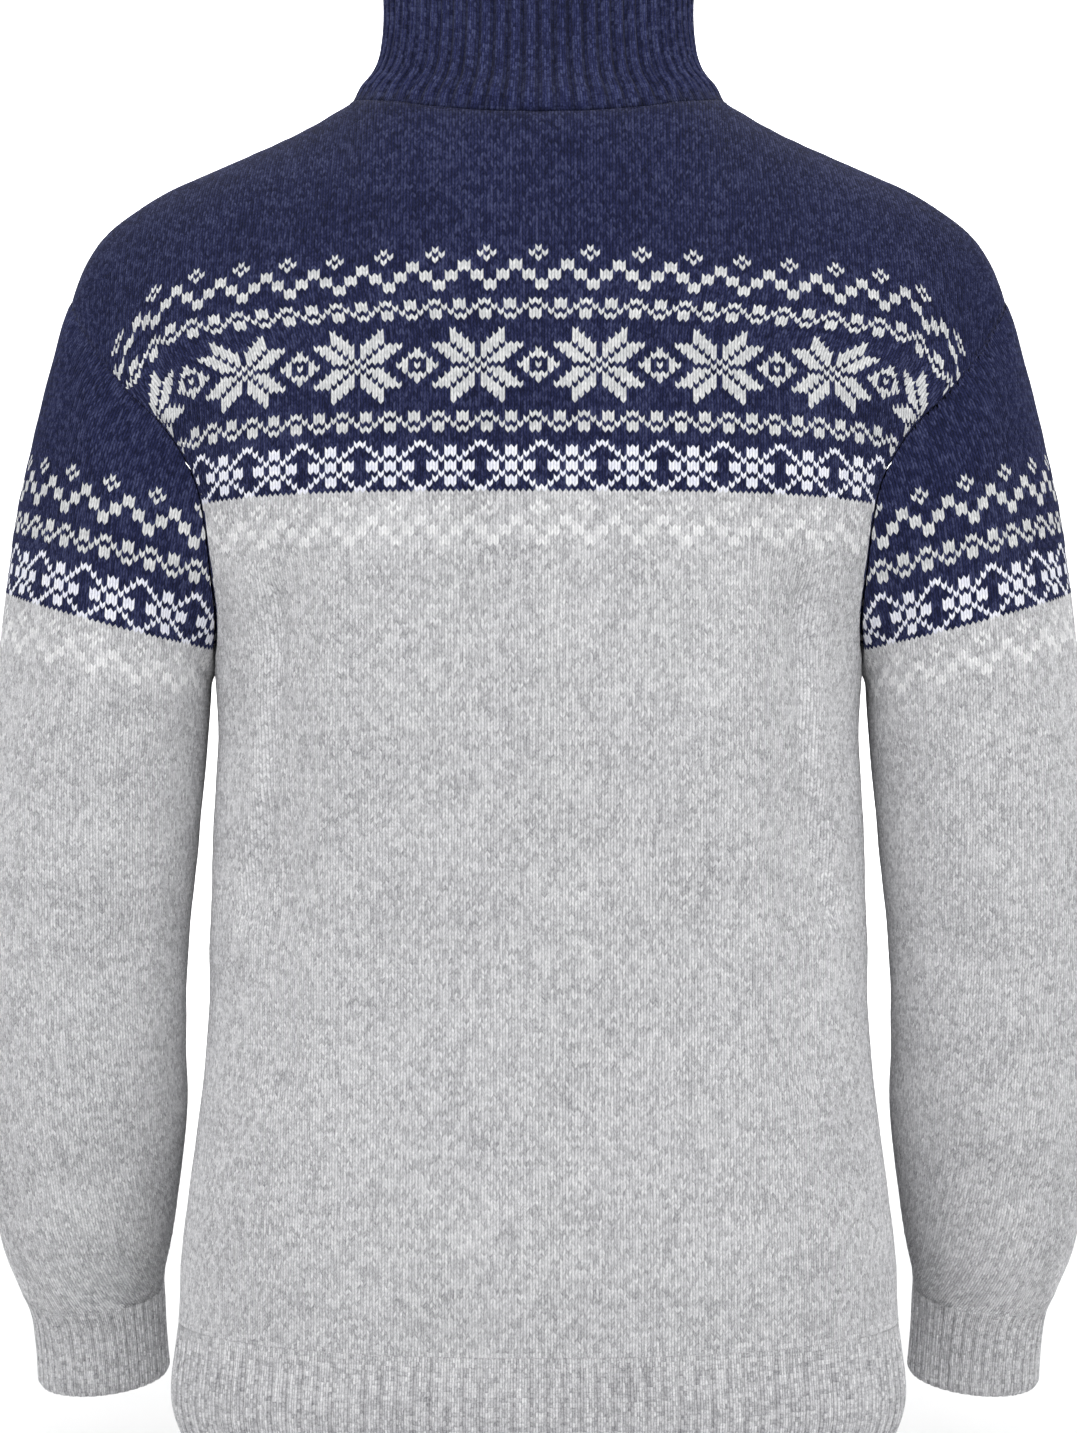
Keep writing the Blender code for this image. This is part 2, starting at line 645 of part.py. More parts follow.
def zip_pull(skins):
    """The pull tab, hanging from the bail; its origin is on its hinge."""
    hinge, up, out = zip_frame(skins)
    bar = PULL_THICKNESS / 2
    shoulder = PULL_HOLE_LENGTH + 2 * bar
    outline = [
        (-PULL_NECK_HALF, bar), (PULL_NECK_HALF, bar), (PULL_NECK_HALF, -PULL_HOLE_LENGTH - bar),
        (PULL_HALF_WIDTH, -shoulder - bar), (PULL_HALF_WIDTH, -PULL_LENGTH + 2 * bar),
        (PULL_HALF_WIDTH - 2 * bar, -PULL_LENGTH), (-PULL_HALF_WIDTH + 2 * bar, -PULL_LENGTH),
        (-PULL_HALF_WIDTH, -PULL_LENGTH + 2 * bar), (-PULL_HALF_WIDTH, -shoulder - bar),
        (-PULL_NECK_HALF, -PULL_HOLE_LENGTH - bar),
    ]
    hole = [
        (-PULL_HOLE_HALF, -bar), (PULL_HOLE_HALF, -bar),
        (PULL_HOLE_HALF, -bar - PULL_HOLE_LENGTH), (-PULL_HOLE_HALF, -bar - PULL_HOLE_LENGTH),
    ]
    mesh = placed(outline_solid([outline, hole], PULL_THICKNESS), (np.array([1, 0, 0]), up, out), (0, 0, 0))
    pull = add_object("zip_pull", mesh, "metal", 30)
    pull.location = hinge


def main():
    for item in list(bpy.data.objects):
        bpy.data.objects.remove(item)
    for name in (COLLECTION, "cutters"):
        bpy.context.scene.collection.children.link(bpy.data.collections.new(name))
    skins = cloth_skins()
    normals = shared_normals(skins)
    for name in ("back_panel", "front_panel", "sleeve_left", "sleeve_right"):
        plain_piece(name, skins[name], normals[name], "heather")
    for name in ("hem_back", "hem_front"):
        ribbed_piece(name, skins[name][0], normals[name], HEM_RIBS, False, HEM_RELIEF, "heather")
    for name in ("cuff_left", "cuff_right"):
        ribbed_piece(name, skins[name][0], normals[name], CUFF_RIBS, True, CUFF_RELIEF, "heather")
    ribbed_piece("collar", skins["collar"][0], normals["collar"], COLLAR_RIBS, False, COLLAR_RELIEF, "navy")
    zip_tape("zip_tape_left", 1, skins, normals)
    zip_tape("zip_tape_right", -1, skins, normals)
    zip_slider(skins)
    zip_pull(skins)


main()
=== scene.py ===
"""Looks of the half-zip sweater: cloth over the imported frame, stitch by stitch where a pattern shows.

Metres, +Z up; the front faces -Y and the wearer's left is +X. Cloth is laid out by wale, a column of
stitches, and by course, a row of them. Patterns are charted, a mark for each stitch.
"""

from math import pi, radians

import bmesh
import bpy
import numpy as np
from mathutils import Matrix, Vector


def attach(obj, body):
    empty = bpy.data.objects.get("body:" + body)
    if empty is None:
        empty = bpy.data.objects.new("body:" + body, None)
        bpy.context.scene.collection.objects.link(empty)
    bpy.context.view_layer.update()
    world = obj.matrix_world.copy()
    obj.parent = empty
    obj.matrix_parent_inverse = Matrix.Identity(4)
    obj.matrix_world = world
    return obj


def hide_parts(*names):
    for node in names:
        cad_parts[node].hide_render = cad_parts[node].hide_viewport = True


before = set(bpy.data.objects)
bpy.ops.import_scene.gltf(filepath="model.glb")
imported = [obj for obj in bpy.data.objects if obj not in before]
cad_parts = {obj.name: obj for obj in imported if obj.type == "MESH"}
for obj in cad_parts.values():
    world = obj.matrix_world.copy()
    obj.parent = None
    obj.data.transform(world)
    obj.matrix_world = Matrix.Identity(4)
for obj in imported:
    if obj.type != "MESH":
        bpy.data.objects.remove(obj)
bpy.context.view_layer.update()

# Stitches
STITCH = 0.00305  # width
WIDENING = 0.07  # how much wider the stitches are drawn at the shoulders
WIDENS = (0.155, 0.195)  # the heights above the underarm between which they widen
COURSE = 0.00248  # height
QUARTER = STITCH / 4  # a stitch has four columns of points: edge, a leg's ridge, middle, the other ridge
SLANT = 0.36  # how far a stitch's middle hangs below its course and its edges stand above, in courses
RIDGE = 0.00022  # height of a leg's ridge
PLAIN_STEP = 3  # courses a row of points where no pattern shows
UPPER_STEP = 2  # the same above a panel's pattern

# Yarns: three tones, how sharply they part, painted shade in the gaps between legs, sheen and painted shade
# in a rib's furrow
NAVY, PALE, WHITE, HEATHER, SOFT, NAVY_RIB, HEATHER_RIB = range(7)
YARNS = (
    ("name", "dark", "base", "light", "contrast", "gap", "sheen", "furrow_shade"),
    ("navy_yarn", (0.006, 0.008, 0.030), (0.016, 0.020, 0.071), (0.060, 0.069, 0.154), 0.16, 0.80, 0.04, 0.0),
    ("pale_yarn", (0.45, 0.46, 0.48), (0.66, 0.67, 0.68), (0.86, 0.86, 0.86), 0.22, 0.40, 0.10, 0.0),
    ("white_yarn", (0.68, 0.70, 0.82), (0.86, 0.87, 0.96), (0.97, 0.97, 0.99), 0.24, 0.36, 0.10, 0.0),
    ("heather_yarn", (0.27, 0.27, 0.285), (0.60, 0.60, 0.62), (0.88, 0.88, 0.89), 0.215, 0.34, 0.10, 0.0),
    ("soft_white_yarn", (0.58, 0.58, 0.60), (0.82, 0.82, 0.83), (0.95, 0.95, 0.96), 0.22, 0.32, 0.10, 0.0),
    ("navy_rib_yarn", (0.006, 0.008, 0.030), (0.018, 0.022, 0.078), (0.056, 0.066, 0.150), 0.16, 0.60,
     0.04, 0.55),
    ("heather_rib_yarn", (0.27, 0.27, 0.285), (0.60, 0.60, 0.62), (0.88, 0.88, 0.89), 0.20, 0.34, 0.10, 0.10),
)
OWN_SHARE = 0.20  # how much of a leg's tone is its own
SPOTS = (
    ("across", "up", "detail", "roughness", "share"),
    (3.4, 2.1, 3.0, 0.7, 0.55),
    (0.3, 0.9, 2.0, 0.5, 0.15),
    (0.05, 0.07, 2.0, 0.5, 0.1),
)
FIBRES = (9.0, 5.0, 3.0, 0.7)

# Armhole, neck and torso, as the solids have them
ARMHOLE_TOP = np.array([0.247, 0.0, -0.105])
UNDERARM = np.array([0.1705, 0.0, -0.297])
ARMHOLE_DEPTH = {"back": 0.070, "front": -0.072}
ARMHOLE_LEAN = (
    ("angle", "back", "front"),
    (0, 0.0, 0.0), (30, 0.002, 0.0009), (45, 0.005, 0.004), (60, 0.013, 0.0101),
    (75, 0.0265, 0.0187), (90, 0.0313, 0.027), (105, 0.027, 0.0317), (120, 0.02, 0.0304),
    (135, 0.0139, 0.023), (150, 0.007, 0.0126), (165, 0.0018, 0.0036), (180, 0.0, 0.0),
)
NECK_HALF_WIDTH = 0.099
NECK_DEPTH = {"back": 0.085, "front": -0.098}
NECK_DROP = {"back": 0.016, "front": 0.060}
TORSO = (
    ("height", "half_width", "back", "front"),
    (-0.7075, 0.186, 0.101, -0.107),
    (-0.69, 0.1925, 0.108, -0.115),
    (-0.65, 0.1908, 0.111, -0.119),
    (-0.642, 0.19, 0.111, -0.119),
    (-0.6, 0.188, 0.111, -0.12),
    (-0.55, 0.181, 0.105, -0.117),
    (-0.495, 0.175, 0.099, -0.114),
    (-0.44, 0.1735, 0.097, -0.114),
    (-0.39, 0.172, 0.1, -0.118),
    (-0.34, 0.1692, 0.106, -0.124),
    (-0.297, 0.1705, 0.112, -0.128),
    (-0.2745, 0.1702, 0.114, -0.129),
    (-0.242, 0.184, 0.116, -0.13),
    (-0.201, 0.213, 0.118, -0.129),
)
HEM_SEAM = -0.6420
HEM_SMILE = 0.005
ROUNDNESS = 2.4
NECK_SHARE = 6 / 13  # of a panel's columns that end at the neck; the others end at the shoulder
SHOULDER = (
    ("x", "z"),
    (0.099, 0.0),
    (0.121, -0.013),
    (0.145, -0.024),
    (0.17, -0.0345),
    (0.193, -0.045),
    (0.212, -0.056),
    (0.225, -0.066),
    (0.235, -0.077),
    (0.241, -0.0875),
    (0.247, -0.105),
)
SLEEVE = (
    ("outer_x", "outer_z", "inner_x", "inner_z", "depth", "forward"),
    (0.2535, -0.124, 0.1732, -0.306, 0.073, 0.0),
    (0.2625, -0.158, 0.1738, -0.3135, 0.072, 0.0),
    (0.272, -0.199, 0.1744, -0.3225, 0.07, 0.001),
    (0.281, -0.252, 0.1754, -0.335, 0.067, 0.002),
    (0.287, -0.3, 0.177, -0.353, 0.064, 0.003),
    (0.2925, -0.35, 0.1795, -0.38, 0.061, 0.004),
    (0.2955, -0.4, 0.183, -0.415, 0.058, 0.006),
    (0.297, -0.445, 0.1865, -0.452, 0.056, 0.009),
    (0.2975, -0.49, 0.188, -0.49, 0.054, 0.014),
    (0.2965, -0.535, 0.188, -0.53, 0.052, 0.022),
    (0.294, -0.575, 0.192, -0.568, 0.049, 0.031),
    (0.288, -0.608, 0.1968, -0.602, 0.0455, 0.04),
    (0.279, -0.634, 0.2025, -0.631, 0.0385, 0.047),
    (0.2755, -0.642, 0.2025, -0.639, 0.0365, 0.049),
    (0.2725, -0.662, 0.202, -0.658, 0.0353, 0.053),
    (0.2715, -0.685, 0.2005, -0.679, 0.0355, 0.057),
)
CUFF_RINGS = 4
COLLAR = (
    ("share", "half_width", "half_depth"),
    (0.0, 0.099, 0.0915),
    (0.07, 0.095, 0.088),
    (0.2, 0.0866, 0.081),
    (0.31, 0.083, 0.0778),
    (0.42, 0.0816, 0.0765),
    (1.0, 0.0818, 0.0765),
)
COLLAR_SETTLED = 0.20
COLLAR_TOP = {"side": 0.080, "back": 0.070, "front": 0.030}
COLLAR_FORWARD = 0.016
SLIT_HALF = 0.0045
SLIT_BOTTOM = -0.205
SLIT_ROLL, SLIT_ROLL_REACH = 0.0022, 0.0012  # how far the slit's edge turns in

# Zip, as the solids have it, its tapes' columns from the middle out, and its teeth
TAPE_COLUMNS = (0.0008, 0.0014, 0.0022, 0.0030, 0.0045, 0.0070, 0.0095, 0.0120, 0.0130, 0.0140)
TAPE_SEAT = 0.00322
TAPE_THICKNESS = 0.0009
TAPE_CORD, TAPE_CORD_PLACE, TAPE_CORD_REACH = 0.0004, 0.0022, 0.0008  # the cord on the tape's inner edge
TAPE_HEM = 0.004  # of tape below the slit
TAPE_ROWS = 110
TOOTH = (0.0027, 0.0010, 0.0017)  # across, along and through
TOOTH_PITCH = 0.0022
TOOTH_OVER = 0.0002  # how far a tooth reaches past the middle
TEETH_FROM, TEETH_TO = 0.004, 0.0195  # from the tape's lower end, and from its upper one
BOTTOM_STOP = (0.0050, 0.0024, 0.0020)
TOP_STOP = (0.0017, 0.0030, 0.0019)
TOP_STOP_PLACE, TOP_STOP_ASIDE = 0.0045, 0.0019  # from the tape's upper end, and from the middle
METAL_EDGE = 0.00018

# Seams inside the cloth
SEAM_CORD = 0.0013  # radius of a seam's allowance
SEAM_CORD_SIDES = 6

# Where the sleeve's courses cross its outer and inner side; they tilt more and more up the arm
SLEEVE_COURSES = (
    ("course", "outer_z", "inner_z"),
    (0, -0.642, -0.639),
    (60, -0.4932, -0.495),
    (105, -0.383, -0.398),
    (155, -0.258, -0.287),
    (182, -0.186, -0.213),
    (215, -0.101, -0.124),
    (240, -0.036, -0.056),
)

# Charts, from the top course down; X is the motif's yarn
FLORET = (
    ".....X..",
    "....X.X.",
    ".....X..",
    "XX......",
    "XX......",
    "..XX..XX",
    "..XX..XX",
    "....XX..",
    "....XX..",
)
DIAMOND = (
    "XX..XX..",
    "XX.X..X.",
    "..X.XX.X",
    "XX..XX..",
)
STAR_TOP = (
    "...X.......X........",
    "...XX.....XX........",
    "...XXX...XXX........",
    "XXX.XXX.XXX.XXX.....",
    ".XXX.XX.XX.XXX...X..",
    "..XXX.X.X.XXX...XXX.",
    "...XXX.X.XXX...X...X",
)
STAR = STAR_TOP + ("X.....X.X.....XX.X.X",) + STAR_TOP[::-1]
ARCH_TOP = (
    "X........X",
    ".X..XX..X.",
    "..X.XX.X..",
    "...X..X...",
    ".XX.XX.XX.",
)
ARCH = ARCH_TOP + ARCH_TOP[::-1]

# Bands from the top down: chart, yarn, the chart's column at the middle, ground, and plain courses above it
BODY_BANDS = (
    ("chart", "yarn", "middle", "ground", "above"),
    (FLORET, PALE, 5, NAVY, 0),
    (DIAMOND, PALE, 4, NAVY, 2),
    (STAR, PALE, 17, NAVY, 2),
    (DIAMOND, PALE, 4, NAVY, 2),
    (ARCH, WHITE, 0, NAVY, 2),
    (FLORET, SOFT, 5, HEATHER, 2),
)
BODY_PATTERN_TOP = 85  # courses above the underarm
SLEEVE_BANDS = (
    ("chart", "yarn", "middle", "ground", "above"),
    (FLORET, PALE, 5, NAVY, 0),
    (DIAMOND, PALE, 4, NAVY, 2),
    (ARCH, WHITE, 0, NAVY, 2),
    (FLORET, SOFT, 5, HEATHER, 2),
)
SLEEVE_PATTERN_TOP = 182  # courses above the cuff
SLEEVE_TOP = 228

# Creases: the side, each end's distance out and height, how far the middle bows out, depth and half width;
# a ridge's depth is below zero
CREASES = (
    ("side", "x1", "z1", "x2", "z2", "bow", "depth", "half_width"),
    ("back", 0.128, -0.255, 0.13, -0.42, 0.0, 0.005, 0.014),
    ("back", 0.137, -0.38, 0.14, -0.5, 0.0, 0.0035, 0.014),
    ("front", 0.122, -0.26, 0.128, -0.43, 0.0, 0.005, 0.015),
    ("back", 0.215, -0.44, 0.26, -0.475, 0.0, 0.003, 0.012),
    ("front", 0.2, -0.47, 0.255, -0.5, 0.0, 0.004, 0.012),
    ("back", 0.225, -0.56, 0.275, -0.58, 0.0, 0.0025, 0.01),
    ("back", 0.137, -0.262, 0.152, -0.425, -0.0045, 0.0052, 0.005),
    ("front", 0.131, -0.275, 0.143, -0.41, -0.004, 0.0045, 0.0052),
    ("back", 0.205, -0.128, 0.178, -0.192, -0.002, 0.0026, 0.007),
    ("front", 0.2, -0.132, 0.172, -0.205, -0.002, 0.0028, 0.008),
    ("back", 0.15, -0.3, 0.155, -0.368, 0.002, 0.0014, 0.007),
    ("back", 0.128, -0.44, 0.119, -0.56, 0.003, 0.0012, 0.008),
    ("front", 0.134, -0.44, 0.12, -0.57, 0.002, 0.0016, 0.009),
    ("front", 0.052, -0.33, 0.06, -0.42, 0.0, -0.001, 0.02),
    ("back", 0.192, -0.345, 0.238, -0.376, 0.002, 0.0016, 0.007),
    ("front", 0.186, -0.375, 0.24, -0.394, 0.002, 0.002, 0.008),
    ("back", 0.206, -0.52, 0.244, -0.53, 0.0, -0.0012, 0.009),
    ("front", 0.212, -0.555, 0.268, -0.572, -0.002, 0.002, 0.008),
    ("back", 0.212, -0.612, 0.252, -0.603, 0.001, 0.0011, 0.005),
)

# Seams
SEAM_DIP = 0.0012  # how far the cloth rolls in at a seam
SEAM_REACH = 0.004
SHOULDER_FLUSH, SHOULDER_BLEND = -0.10, 0.08  # above this height pieces lie flush, and the blend below it

# Unevenness, and how near a seam it and the creases fade
COARSE_WAVE, FINE_WAVE = 0.0005, 0.0002
WAVE_FADE, BAND_FADE, CREASE_FADE = 0.010, 0.015, 0.020

# Ribbed bands
RIB_POINTS = 12  # across a rib
RIB_STITCHES = 3
RIB_WALL = 0.0026
RIB_REACH = 0.012  # over which the ribs rise from the seam
RIB_SINK = 0.8  # how far a band lies below the cloth it is sewn to, in rib heights
RIB_EDGE, RIB_EDGE_IN = 0.0016, 0.35  # the free edge's rounding: its reach, and how far it turns in, in walls
FLANK_FROM, FLANK = 0.40, 0.13  # where a rib's side ends, and its width, in ribs
GROOVE, GROOVE_REACH = 0.30, 0.055  # between a rib's two wales
HEM_RIBS, HEM_COURSES, HEM_RELIEF = 59, 27, 0.0019
CUFF_RIBS, CUFF_COURSES, CUFF_RELIEF = 36, 19, 0.0015
COLLAR_RIBS, COLLAR_COURSES, COLLAR_RELIEF = 66, 36, 0.0019

# The flat cut of what shows, all round, and its area where it isn't a rectangle
PANEL_FLAT, PANEL_AREA = (0.56, 0.65), 0.30
SLEEVE_FLAT, SLEEVE_AREA = (0.48, 0.55), 0.20
HEM_FLAT, CUFF_FLAT, COLLAR_FLAT = (0.50, 0.066), (0.23, 0.046), (0.54, 0.09)

# Camera and light
CAMERA_AWAY, CAMERA_HEIGHT, FRAME_HEIGHT = 2.2, -0.324, 0.7595
FLOOR_HALF, FLOOR_LEVEL = 8.0, -0.76
WALL_PLACE, WALL_HEIGHT, SWEEP = -7.5, 6.0, 1.2
WORLD_LIGHT = 0.64
LIGHTS = (
    ("name", "place", "aim", "size", "power"),
    ("key", (0.0, 2.2, 1.7), (0, 0, -0.2), 1.6, 48.0),
    ("left", (1.9, 1.0, 0.2), (0, 0, -0.35), 1.2, 2.0),
    ("right", (-1.9, 1.0, 0.2), (0, 0, -0.35), 1.2, 3.0),
    ("front", (0.0, -1.8, 1.4), (0, 0, -0.3), 1.5, 1.5),
    ("floor", (0.0, -3.1, 3.2), (0, -3.4, -0.76), 2.5, 108.0),
    ("backdrop", (0.0, -5.4, 3.0), (0, -7.5, 0.0), 2.5, 260.0),
)


def table(rows):
    """The named columns of a table, as arrays."""
    return {name: np.array([row[i] for row in rows[1:]]) for i, name in enumerate(rows[0])}


def unit(vectors):
    return vectors / np.maximum(np.linalg.norm(vectors, axis=-1, keepdims=True), 1e-12)


def smooth(at, x, y):
    """y at the given x, on a smooth curve through the points."""
    y = np.asarray(y, dtype=float)
    slope = np.gradient(y, x, axis=0)
    i = np.clip(np.searchsorted(x, at) - 1, 0, len(x) - 2)
    run = x[i + 1] - x[i]
    t = np.clip((at - x[i]) / run, 0, 1)
    if y.ndim > 1:
        extra = (1,) * (y.ndim - 1)
        t, run = t.reshape(t.shape + extra), run.reshape(run.shape + extra)
    bends = (t**3 - 2 * t**2 + t) * slope[i] + (t**3 - t**2) * slope[i + 1]
    return y[i] + (3 * t**2 - 2 * t**3) * (y[i + 1] - y[i]) + bends * run


def lengths(points, axis=0):
    """How far each point lies along its line."""
    steps = np.linalg.norm(np.diff(points, axis=axis), axis=-1)
    start = np.zeros_like(np.take(steps, [0], axis=axis))
    return np.concatenate([start, np.cumsum(steps, axis=axis)], axis=axis)


def read(at, length, values):
    """The values, a row for each point, at the given lengths."""
    return np.stack([np.interp(at, length, values[:, k]) for k in range(values.shape[1])], axis=1)


def normals_of(grid):
    """Normals of a grid whose columns run against the clock seen from above, with its rows going up."""
    across, up = np.gradient(grid, axis=1), np.gradient(grid, axis=0)
    return unit(np.cross(across, up))


# The surface of a panel


def armhole(angle, side):
    """Points of the left armhole, from 0 at the shoulder to pi at the underarm."""
    angle = np.asarray(angle)[..., None]
    middle, half = (ARMHOLE_TOP + UNDERARM) / 2, (ARMHOLE_TOP - UNDERARM) / 2
    leans = table(ARMHOLE_LEAN)
    lean = smooth(np.degrees(angle), leans["angle"].astype(float), leans[side]) * [-1, 0, 0]
    return middle + half * np.cos(angle) + lean + ARMHOLE_DEPTH[side] * np.sin(angle) * [0, 1, 0]


def drawn_to(row, edge):
    return row + (edge - row[-1]) * np.linspace(0, 1, len(row))[:, None] ** 2


def torso_row(edge, side, smile, columns):
    """A level row from the centre to its left edge."""
    sections = table(TORSO)
    half_width, depth = (smooth(edge[2], sections["height"], sections[name]) for name in ("half_width", side))
    turn = np.linspace(0, np.arccos((edge[1] / depth) ** (ROUNDNESS / 2)), 400)
    x = half_width * np.sin(turn) ** (2 / ROUNDNESS)
    y = depth * np.cos(turn) ** (2 / ROUNDNESS)
    row = np.stack([x, y, edge[2] - smile * np.cos(turn) ** 2], axis=1)
    length = lengths(row)
    return drawn_to(read(np.linspace(0, length[-1], columns), length, row), edge)


def top_row(side, columns):
    """A panel's top: the neck opening, then the shoulder seam."""
    share = np.linspace(0, 1, columns)
    angle = np.clip(share / NECK_SHARE, 0, 1)[:, None] * pi / 2
    opening = np.sin(angle) * [NECK_HALF_WIDTH, 0, 0] + np.cos(angle) * [0, NECK_DEPTH[side], 0]
    opening = opening - np.cos(angle) ** 2 * [0, 0, NECK_DROP[side]]
    line = table(SHOULDER)
    shoulder = np.stack([line["x"], 0 * line["x"], line["z"]], axis=1)
    length = lengths(shoulder)
    at = np.clip((share - NECK_SHARE) / (1 - NECK_SHARE), 0, 1) * length[-1]
    return np.where((share <= NECK_SHARE)[:, None], opening, smooth(at, length, shoulder))


def panel_surface(side, columns=131, lower=70, upper=91):
    """The left half of a panel from the hem seam up, and the row that is level with the underarm."""
    sections = table(TORSO)
    rows = []
    for z in np.linspace(HEM_SEAM, UNDERARM[2], lower)[:-1]:
        smile = HEM_SMILE * (UNDERARM[2] - z) / (UNDERARM[2] - HEM_SEAM)
        edge = np.array([smooth(z, sections["height"], sections["half_width"]), 0, z])
        rows.append(torso_row(edge, side, smile, columns))
    chest, top = torso_row(armhole(pi / 2, side), side, 0, columns), top_row(side, columns)
    for angle in np.linspace(pi, 0, upper):
        edge = armhole(angle, side)
        if angle >= pi / 2:
            rows.append(torso_row(edge, side, 0, columns))
        else:
            rows.append(drawn_to(chest + (top - chest) * [1 - np.sin(angle)] * [1, 1, 0]
                                 + (top - chest) * [0, 0, np.cos(angle)], edge))
    return np.array(rows), lower - 1


def wale_lengths(row):
    """How far each point of a row lies from the centre, measured straight across below the neck."""
    step = np.diff(row, axis=0)
    share = np.linspace(0, 1, len(row))[1:]
    whole = np.clip((share - NECK_SHARE * 0.8) / (NECK_SHARE * 0.4), 0, 1)
    far = np.sqrt(step[:, 0] ** 2 + whole * (step[:, 1] ** 2 + step[:, 2] ** 2))
    return np.concatenate([[0], np.cumsum(far)])


def steps_between(low, high, pattern, upper_step):
    """The courses at which a cloth has rows of points: every one in the pattern, fewer elsewhere."""
    first, last = min(pattern) - 1, max(pattern) + 2
    below = np.arange(first, low, -PLAIN_STEP)[:0:-1]
    above = np.arange(last, high, upper_step)
    return np.unique(np.concatenate([[low], below, np.arange(first, last), above, [high]]).astype(float))


def charted(bands, top):
    """The charted courses by number: ground, motif's yarn, chart row and its column at the middle."""
    rows, course = {}, top
    for chart, yarn, middle, ground, above in bands[1:]:
        for line in ("",) * above + tuple(chart):
            course -= 1
            rows[course] = (ground, yarn, line, middle)
    return rows


def yarns(pattern, courses, wales):
    """The yarn of every face, a row for each of the given courses."""
    chosen = np.full((len(courses), len(wales)), HEATHER)
    for i, course in enumerate(courses):
        if course > max(pattern):
            chosen[i] = NAVY
        elif course in pattern:
            ground, yarn, line, middle = pattern[course]
            chosen[i] = ground
            if line:
                marks = np.array([mark == "X" for mark in line])
                chosen[i][marks[(wales + middle) % len(line)]] = yarn
    return chosen


def slant(columns):
    """How far each column of points stands above its course."""
    return -SLANT * np.cos(np.asarray(columns) * pi / 2)


def crease_depth(points):
    """How far the creases push each point in."""
    pushed = np.zeros(points.shape[:-1])
    for side, x1, z1, x2, z2, bow, depth, half_width in CREASES[1:]:
        size = np.hypot(x2 - x1, z2 - z1)
        run = np.array([x2 - x1, z2 - z1]) / size
        flat = np.stack([np.abs(points[..., 0]) - x1, points[..., 2] - z1], axis=-1)
        along = flat @ run
        share = np.clip(along / size, 0, 1)
        across = flat @ np.array([-run[1], run[0]]) - 4 * bow * share * (1 - share)
        away = np.hypot(across, along - share * size)
        here = points[..., 1] > 0 if side == "back" else points[..., 1] < 0
        pushed += here * depth * np.exp(-((away / half_width) ** 2))
    return pushed


def unevenness(points):
    """A slow, shallow waviness of the cloth."""
    x, y, z = (points[..., k] for k in range(3))
    bend = 0.012 * np.sin(31 * z + 17 * y) + 0.009 * np.sin(43 * x - 9)
    coarse = np.sin(96 * (x + bend) + 13 * z) * np.sin(71 * (z - bend) + 21 * x + 2)
    fine = np.sin(210 * (x - bend) + 70 * y + 1) * np.sin(160 * (z + bend) + 4)
    return COARSE_WAVE * coarse + FINE_WAVE * fine


def faded(away, reach):
    """A share that grows from 0 at an edge to 1 at its reach."""
    return np.clip(away / reach, 0, 1)


def leg_ridges(columns, over):
    """How far the legs' ridges stand out, with none past the piece's edge."""
    return np.where(over, 0, RIDGE * np.where(columns % 2 == 1, 1, -1))


def kept_faces(over):
    """The faces with a corner within the piece."""
    return ~(over[:-1, :-1] & over[1:, :-1] & over[:-1, 1:] & over[1:, 1:])


def wales_of(columns):
    """The wale of each column of faces, counted from the middle."""
    return np.floor((columns[:-1] + 0.5) / 4 + 0.5).astype(int)


def seam_roll(away):
    """How far cloth stands at a distance from its seam."""
    return -SEAM_DIP * np.exp(-((np.maximum(away, 0) / SEAM_REACH) ** 2))


def seam_shows(points):
    """How much of a seam's roll there is: little on the shoulder, where the pieces lie flush."""
    return np.clip((SHOULDER_FLUSH - points[..., 2]) / SHOULDER_BLEND, 0, 1)


